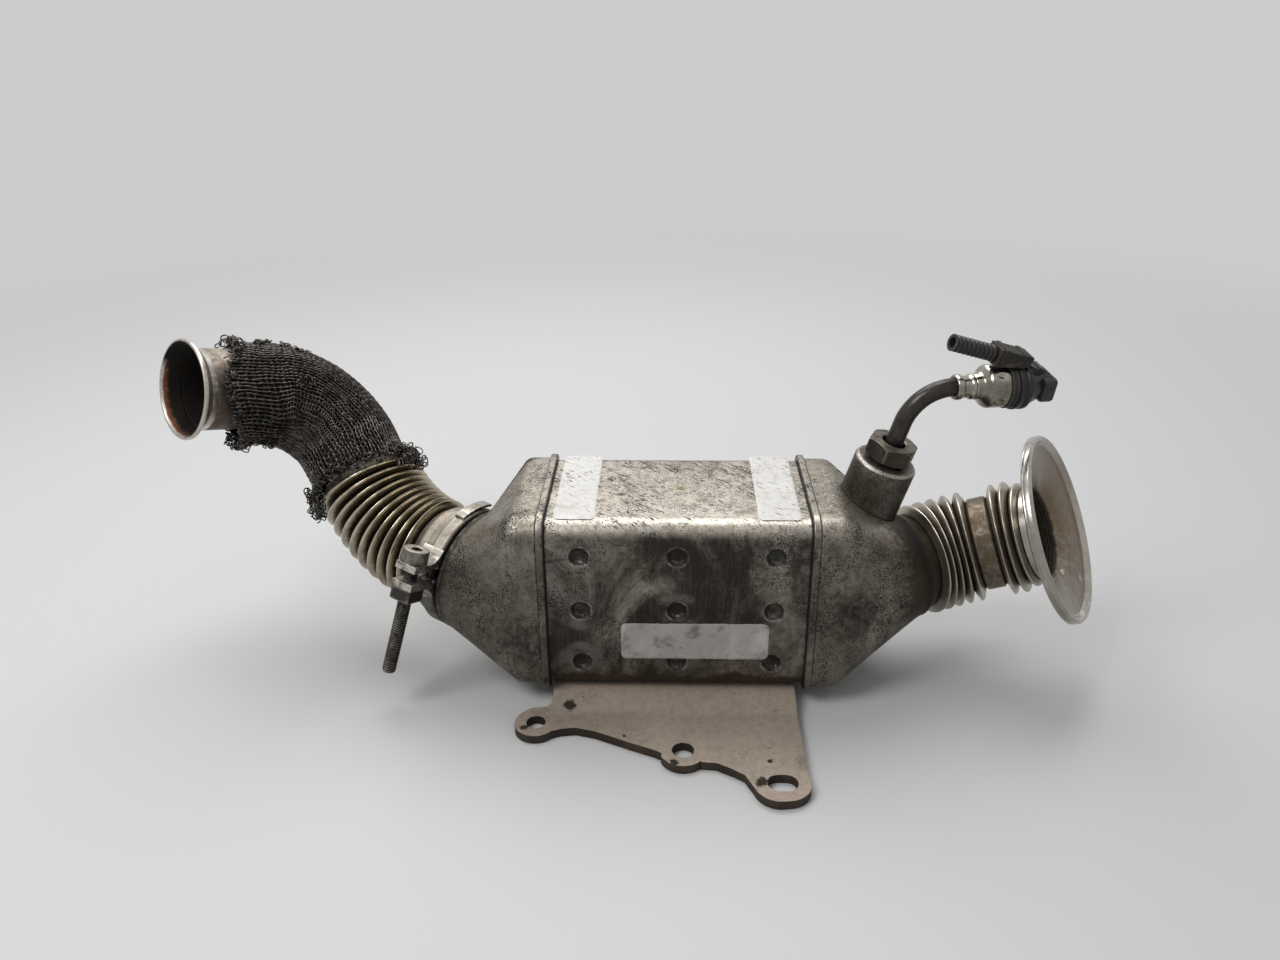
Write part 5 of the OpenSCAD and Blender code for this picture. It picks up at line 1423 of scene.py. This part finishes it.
def buildPlug(spec):
    collar = lathe(softProfile(spec["collar"], 0.35, 3), stemEndAt, 96)
    low, high = spec["cap"]
    tall, wide, corner = spec["capHigh"] / 2, spec["capWide"] / 2, spec["capRound"]
    rings = []
    for z, grow in ((low, -1.0), (low + 0.5, -0.2), (low + 1.2, 0.0), (high - 1.2, 0.0), (high - 0.4, -0.3),
                    (high, -1.1)):
        ring = []
        for a, b, _ in roundedRing(spec["capHigh"], spec["capWide"], corner, 6, 42):
            groove = 0.0
            if abs(abs(a) - tall) < 0.01 and abs(b) < wide - corner and low + 0.8 < z < high - 0.8:
                phase = math.tau * spec["ribs"] * b / (2 * wide - 2 * corner)
                groove = spec["ribDepth"] * (0.5 + 0.5 * math.cos(phase))
            ring.append(stemEndAt @ Vector((a * (1 + (grow - groove) / tall), b * (1 + grow / wide), z)))
        rings.append(ring)
    addPiece("harness_socket", joined([collar, skin(rings, capStart=True, capEnd=True)]), "plugBlack",
             "black_plastic", ["harness_plug"], sharp=40)


def buildLatch(spec):
    at = stemEndAt @ shift(*spec["place"]) @ turn("Y", spec["tilt"])
    addPiece("harness_latch", joined([boxShape(at, *spec[part]) for part in ("arm", "lip")]), "plugBlack",
             "black_plastic", ["plug_latch"], bevel=0.4)


def buildClip(spec):
    high, wide = spec["high"], spec["wide"]
    blocks = []
    for start, stop, more in [(0.0, spec["length"], 0.0)] + [(*rib, spec["ribRise"]) for rib in spec["ribs"]]:
        points, faces = boxShape(Matrix(), (-high - more, -wide - more, start), (high, wide + more, stop))
        for p in points:  # the underside follows the collar
            p.x = min(p.x, high - spec["hollow"] * (p.z / spec["length"]) ** 1.3)
        blocks.append(([clipAt @ p for p in points], faces))
    addPiece("harness_clip", joined(blocks), "clipBrown", "brown_plastic", ["conduit_clip"], bevel=0.5)


def buildConduit(spec):
    inside, count = spec["radius"] - spec["wall"], spec["rings"] * spec["perRing"]
    rows = []
    for i in range(count + 1):
        wave = 0.5 + 0.5 * math.cos(math.tau * i / spec["perRing"])
        r = spec["radius"] - spec["groove"] * (1 - min(1.0, 1.7 * wave))
        rows.append((r, -spec["inClip"] + (spec["length"] + spec["inClip"]) * i / count))
    rows += [(inside, rows[-1][1]), (inside, rows[0][1])]
    addPiece("harness_conduit", lathe(rows, clipAt @ turn("Y", 180), 48), "plugBlack", "conduit_plastic",
             ["conduit_stub"], sharp=60)


buildPlug(harnessPlug)
buildLatch(plugLatch)
buildClip(conduitClip)
buildConduit(conduitStub)
print("plug made")


# mounting bracket, folded up under the case
bracketPlate = {
    "thick": 4.0, "foldLow": -48.8, "foldHigh": -35.5, "foldCuts": 14, "foldMargin": 2.5, "rise": 3.5,
    "soft": 0.16, "right": 51, "left": -53, "back": -11.5, "edge": 0.4,
    "lower": [(26.4, -85.6), (22.2, -82.7), (15.5, -78.9), (9.5, -78.4)],
    "slope": [(-6.0, -73.6), (-8.6, -71.9), (-18.6, -67.5), (-33.8, -60.4), (-42.0, -58.2), (-48.0, -59.0)],
    "shoulder": [(-55.0, -45.2), (-53.4, -43.6), (-53, -41)],
    "holes": [((-58.8, -54.8), 4.0, 0.0), ((2.5, -71.5), 4.5, 0.0), ((40.8, -90.0), 4.5, 1.5)],
}


def arc(cx, cy, r, start, stop, count):
    angles = [math.radians(start + (stop - start) * i / count) for i in range(count + 1)]
    return [(cx + r * math.cos(a), cy + r * math.sin(a)) for a in angles]


def bracketLoops(spec):
    outline = [(spec["right"], spec["back"]), (spec["right"], -60), (spec["right"], -84)]
    outline += arc(42.0, -90, 9.9, 20, -80, 12) + arc(39.6, -90, 10.3, -90, -165, 10)
    outline += spec["lower"] + arc(2.5, -71.5, 9.5, -42, -160, 14) + spec["slope"]
    outline += arc(-58.8, -54.8, 9.0, -38, -270, 24) + spec["shoulder"] + [(spec["left"], spec["back"])]
    loops = [outline]
    for (cx, cy), r, stretch in spec["holes"]:
        if stretch:
            loops.append(arc(cx + stretch, cy, r, -90, 90, 20) + arc(cx - stretch, cy, r, 90, 270, 20))
        else:
            loops.append(arc(cx, cy, r, 0, 351, 39))
    return [[(a, b, 0) for a, b in line] for line in loops]


def buildBracket(spec):
    work = filledLoops(bracketLoops(spec))
    low, margin, cuts = spec["foldLow"], spec["foldMargin"], spec["foldCuts"]
    deep = spec["foldHigh"] - low
    for k in range(cuts + 1):
        y = low - margin + (deep + 2 * margin) * k / cuts
        bmesh.ops.bisect_plane(work, geom=work.verts[:] + work.edges[:] + work.faces[:], plane_co=(0, y, 0),
                               plane_no=(0, 1, 0))
    thicken(work, (0, 0, spec["thick"]))
    for v in work.verts:
        u, soft = (v.co.y - low) / deep, spec["soft"]
        ramp = min(1.0, max(0.0, u))
        if -soft < u < soft:  # rounds both folds
            ramp = (u + soft) ** 2 / (4 * soft)
        elif 1 - soft < u < 1 + soft:
            ramp = 1 - (1 + soft - u) ** 2 / (4 * soft)
        v.co.z += spec["rise"] * ramp
    addPiece("mount_plate", takenOut(work, lambda co: caseAt @ co), "bracketSteel", "bracket_steel",
             ["bracket"], bevel=spec["edge"],
             trim=("bracketEdge", lambda spot, normal: abs(normal.z) < 0.4))


buildBracket(bracketPlate)
print("bracket made")


# blank worn stickers on the case
stickers = {
    "front_sticker": {"side": "front", "low": (-23.5, 23.4), "high": (38.5, 41.0), "smudge": 0.5},
    "top_sticker_outlet": {"side": "top", "low": (-51.0, -29.5), "high": (-34.0, 34.0), "smudge": 0.2},
    "top_sticker_inlet": {"side": "top", "low": (33.0, -29.5), "high": (50.5, 34.0), "smudge": 0.3},
}
stickerSheet = {"rings": (0.0, 0.4, 1.5, 3.0, 4.5, 6.0, 7.4), "corner": 2.4, "fray": 0.5, "edgeLift": 0.05,
                "lift": 0.22}


def buildSticker(name, spec):
    sheet, body, onFront = stickerSheet, coolerBody, spec["side"] == "front"
    width, height = (spec["high"][k] - spec["low"][k] for k in (0, 1))
    cx, cy = ((spec["high"][k] + spec["low"][k]) / 2 for k in (0, 1))
    front, top = -body["caseDepth"] / 2, body["middleZ"] + body["caseHeight"] / 2
    rings = []
    for shrink in sheet["rings"]:
        corner = max(0.4, sheet["corner"] - 0.6 * shrink)
        lift = sheet["edgeLift"] if shrink == 0 else sheet["lift"]
        raised = Vector((0, -lift, 0)) if onFront else Vector((0, 0, lift))
        ring = []
        for a, b, _ in roundedRing(width - 2 * shrink, height - 2 * shrink, corner, 6, 40):
            fray = noiseAt(a * 0.5 + cx, b * 0.5 + cy, 3.0) * sheet["fray"] if shrink < 1 else 0.0
            a, b = a * (1 + fray / width) + cx, b * (1 + fray / height) + cy
            place = Vector((a, front, b)) if onFront else Vector((a, b, top))
            ring.append(caseAt @ (place + wobble(place, *body["ripple"]) + raised))
        rings.append(ring)

    def dirtAndShade(i, p):
        patch = noise.noise(p / 9.0) + 0.6 * noise.noise(p / 3.5)
        return max(0.0, min(0.62, spec["smudge"] * (0.45 + 1.1 * patch)))

    addPiece(name, skin(rings, capEnd=True), "labelPaper", sharp=60, paint={"dirtAndShade": dirtAndShade})


for name, spec in stickers.items():
    buildSticker(name, spec)
print("stickers made")


# the CAD pieces that stay as they are
kept = {"sensor_probe": "plugSteel", "joint_gasket": "sealRubber"}
for i in range(1, headerPlate["tubes"] + 1):
    kept[f"gas_tube_{i}"] = kept[f"fin_{i}"] = "finSheet"
for name, finishName in kept.items():
    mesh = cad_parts[name].data
    mesh.materials.clear()
    mesh.materials.append(finish[finishName])


# plain pale floor and soft light from above and behind
studio = {
    "pale": (0.60, 0.60, 0.595), "floorRough": 0.6, "floorHalf": 40, "floorDrop": 0.0002, "far": (0.42, 1.1),
    "sky": (0.97, 0.985, 1.0), "skyStrength": 0.36, "aim": (-0.02, 0.07, 0.05),
    "lamps": {"keyLamp": ((-0.10, 0.62, 1.0), 1.0, 8.6), "topLamp": ((-0.55, -0.30, 0.85), 0.5, 4.2)},
}


def seenRay(tree):
    ray = addNode(tree, "ShaderNodeLightPath").outputs
    reflected = sums(tree, ray["Is Glossy Ray"], "max", ray["Is Transmission Ray"])
    return sums(tree, ray["Is Camera Ray"], "max", reflected)


def mixShaders(tree, mask, a, b):
    both = addNode(tree, "ShaderNodeMixShader")
    for socket, source in zip(both.inputs, (mask, a, b)):
        tree.links.new(source, socket)
    return both.outputs[0]


def addFloor(spec):
    mesh = bpy.data.meshes.new("studioFloor")
    half = spec["floorHalf"]
    corners = [(x * half, y * half, 0) for x, y in ((-1, -1), (1, -1), (1, 1), (-1, 1))]
    mesh.from_pydata(corners, [], [(0, 1, 2, 3)])
    floor = bpy.data.objects.new("studioFloor", mesh)
    floor.location.z = -spec["floorDrop"]
    scene.collection.objects.link(floor)
    paint = bpy.data.materials.new("floorPaint")
    paint.use_nodes = True
    tree = paint.node_tree
    shader = tree.nodes["Principled BSDF"]
    shader.inputs["Base Color"].default_value = (*spec["pale"], 1)
    shader.inputs["Roughness"].default_value = spec["floorRough"]
    glow = addNode(tree, "ShaderNodeEmission", values={"Color": (*spec["pale"], 1)})
    away = addNode(tree, "ShaderNodeVectorMath", {"operation": "LENGTH"})
    tree.links.new(objectPlace(tree), away.inputs[0])
    far = sums(tree, threshold(tree, away.outputs["Value"], *spec["far"]), "*", seenRay(tree))
    tree.links.new(mixShaders(tree, far, shader.outputs[0], glow.outputs[0]),
                   tree.nodes["Material Output"].inputs["Surface"])
    mesh.materials.append(paint)


def addLight(spec):
    for name, (place, size, power) in spec["lamps"].items():
        lamp = bpy.data.lights.new(name, "AREA")
        lamp.shape, lamp.size, lamp.energy = "DISK", size, power
        holder = bpy.data.objects.new(name, lamp)
        holder.location = place
        holder.rotation_euler = (Vector(spec["aim"]) - holder.location).to_track_quat("-Z", "Y").to_euler()
        scene.collection.objects.link(holder)
    world = bpy.data.worlds.new("studioWorld")
    world.use_nodes = True
    tree = world.node_tree
    light = tree.nodes["Background"]
    light.inputs["Color"].default_value = (*spec["sky"], 1)
    light.inputs["Strength"].default_value = spec["skyStrength"]
    pale = addNode(tree, "ShaderNodeBackground", values={"Color": (*spec["pale"], 1)})
    tree.links.new(mixShaders(tree, seenRay(tree), light.outputs[0], pale.outputs[0]),
                   tree.nodes["World Output"].inputs["Surface"])
    scene.world = world


addFloor(studio)
addLight(studio)
print("studio set")

bpy.context.view_layer.update()
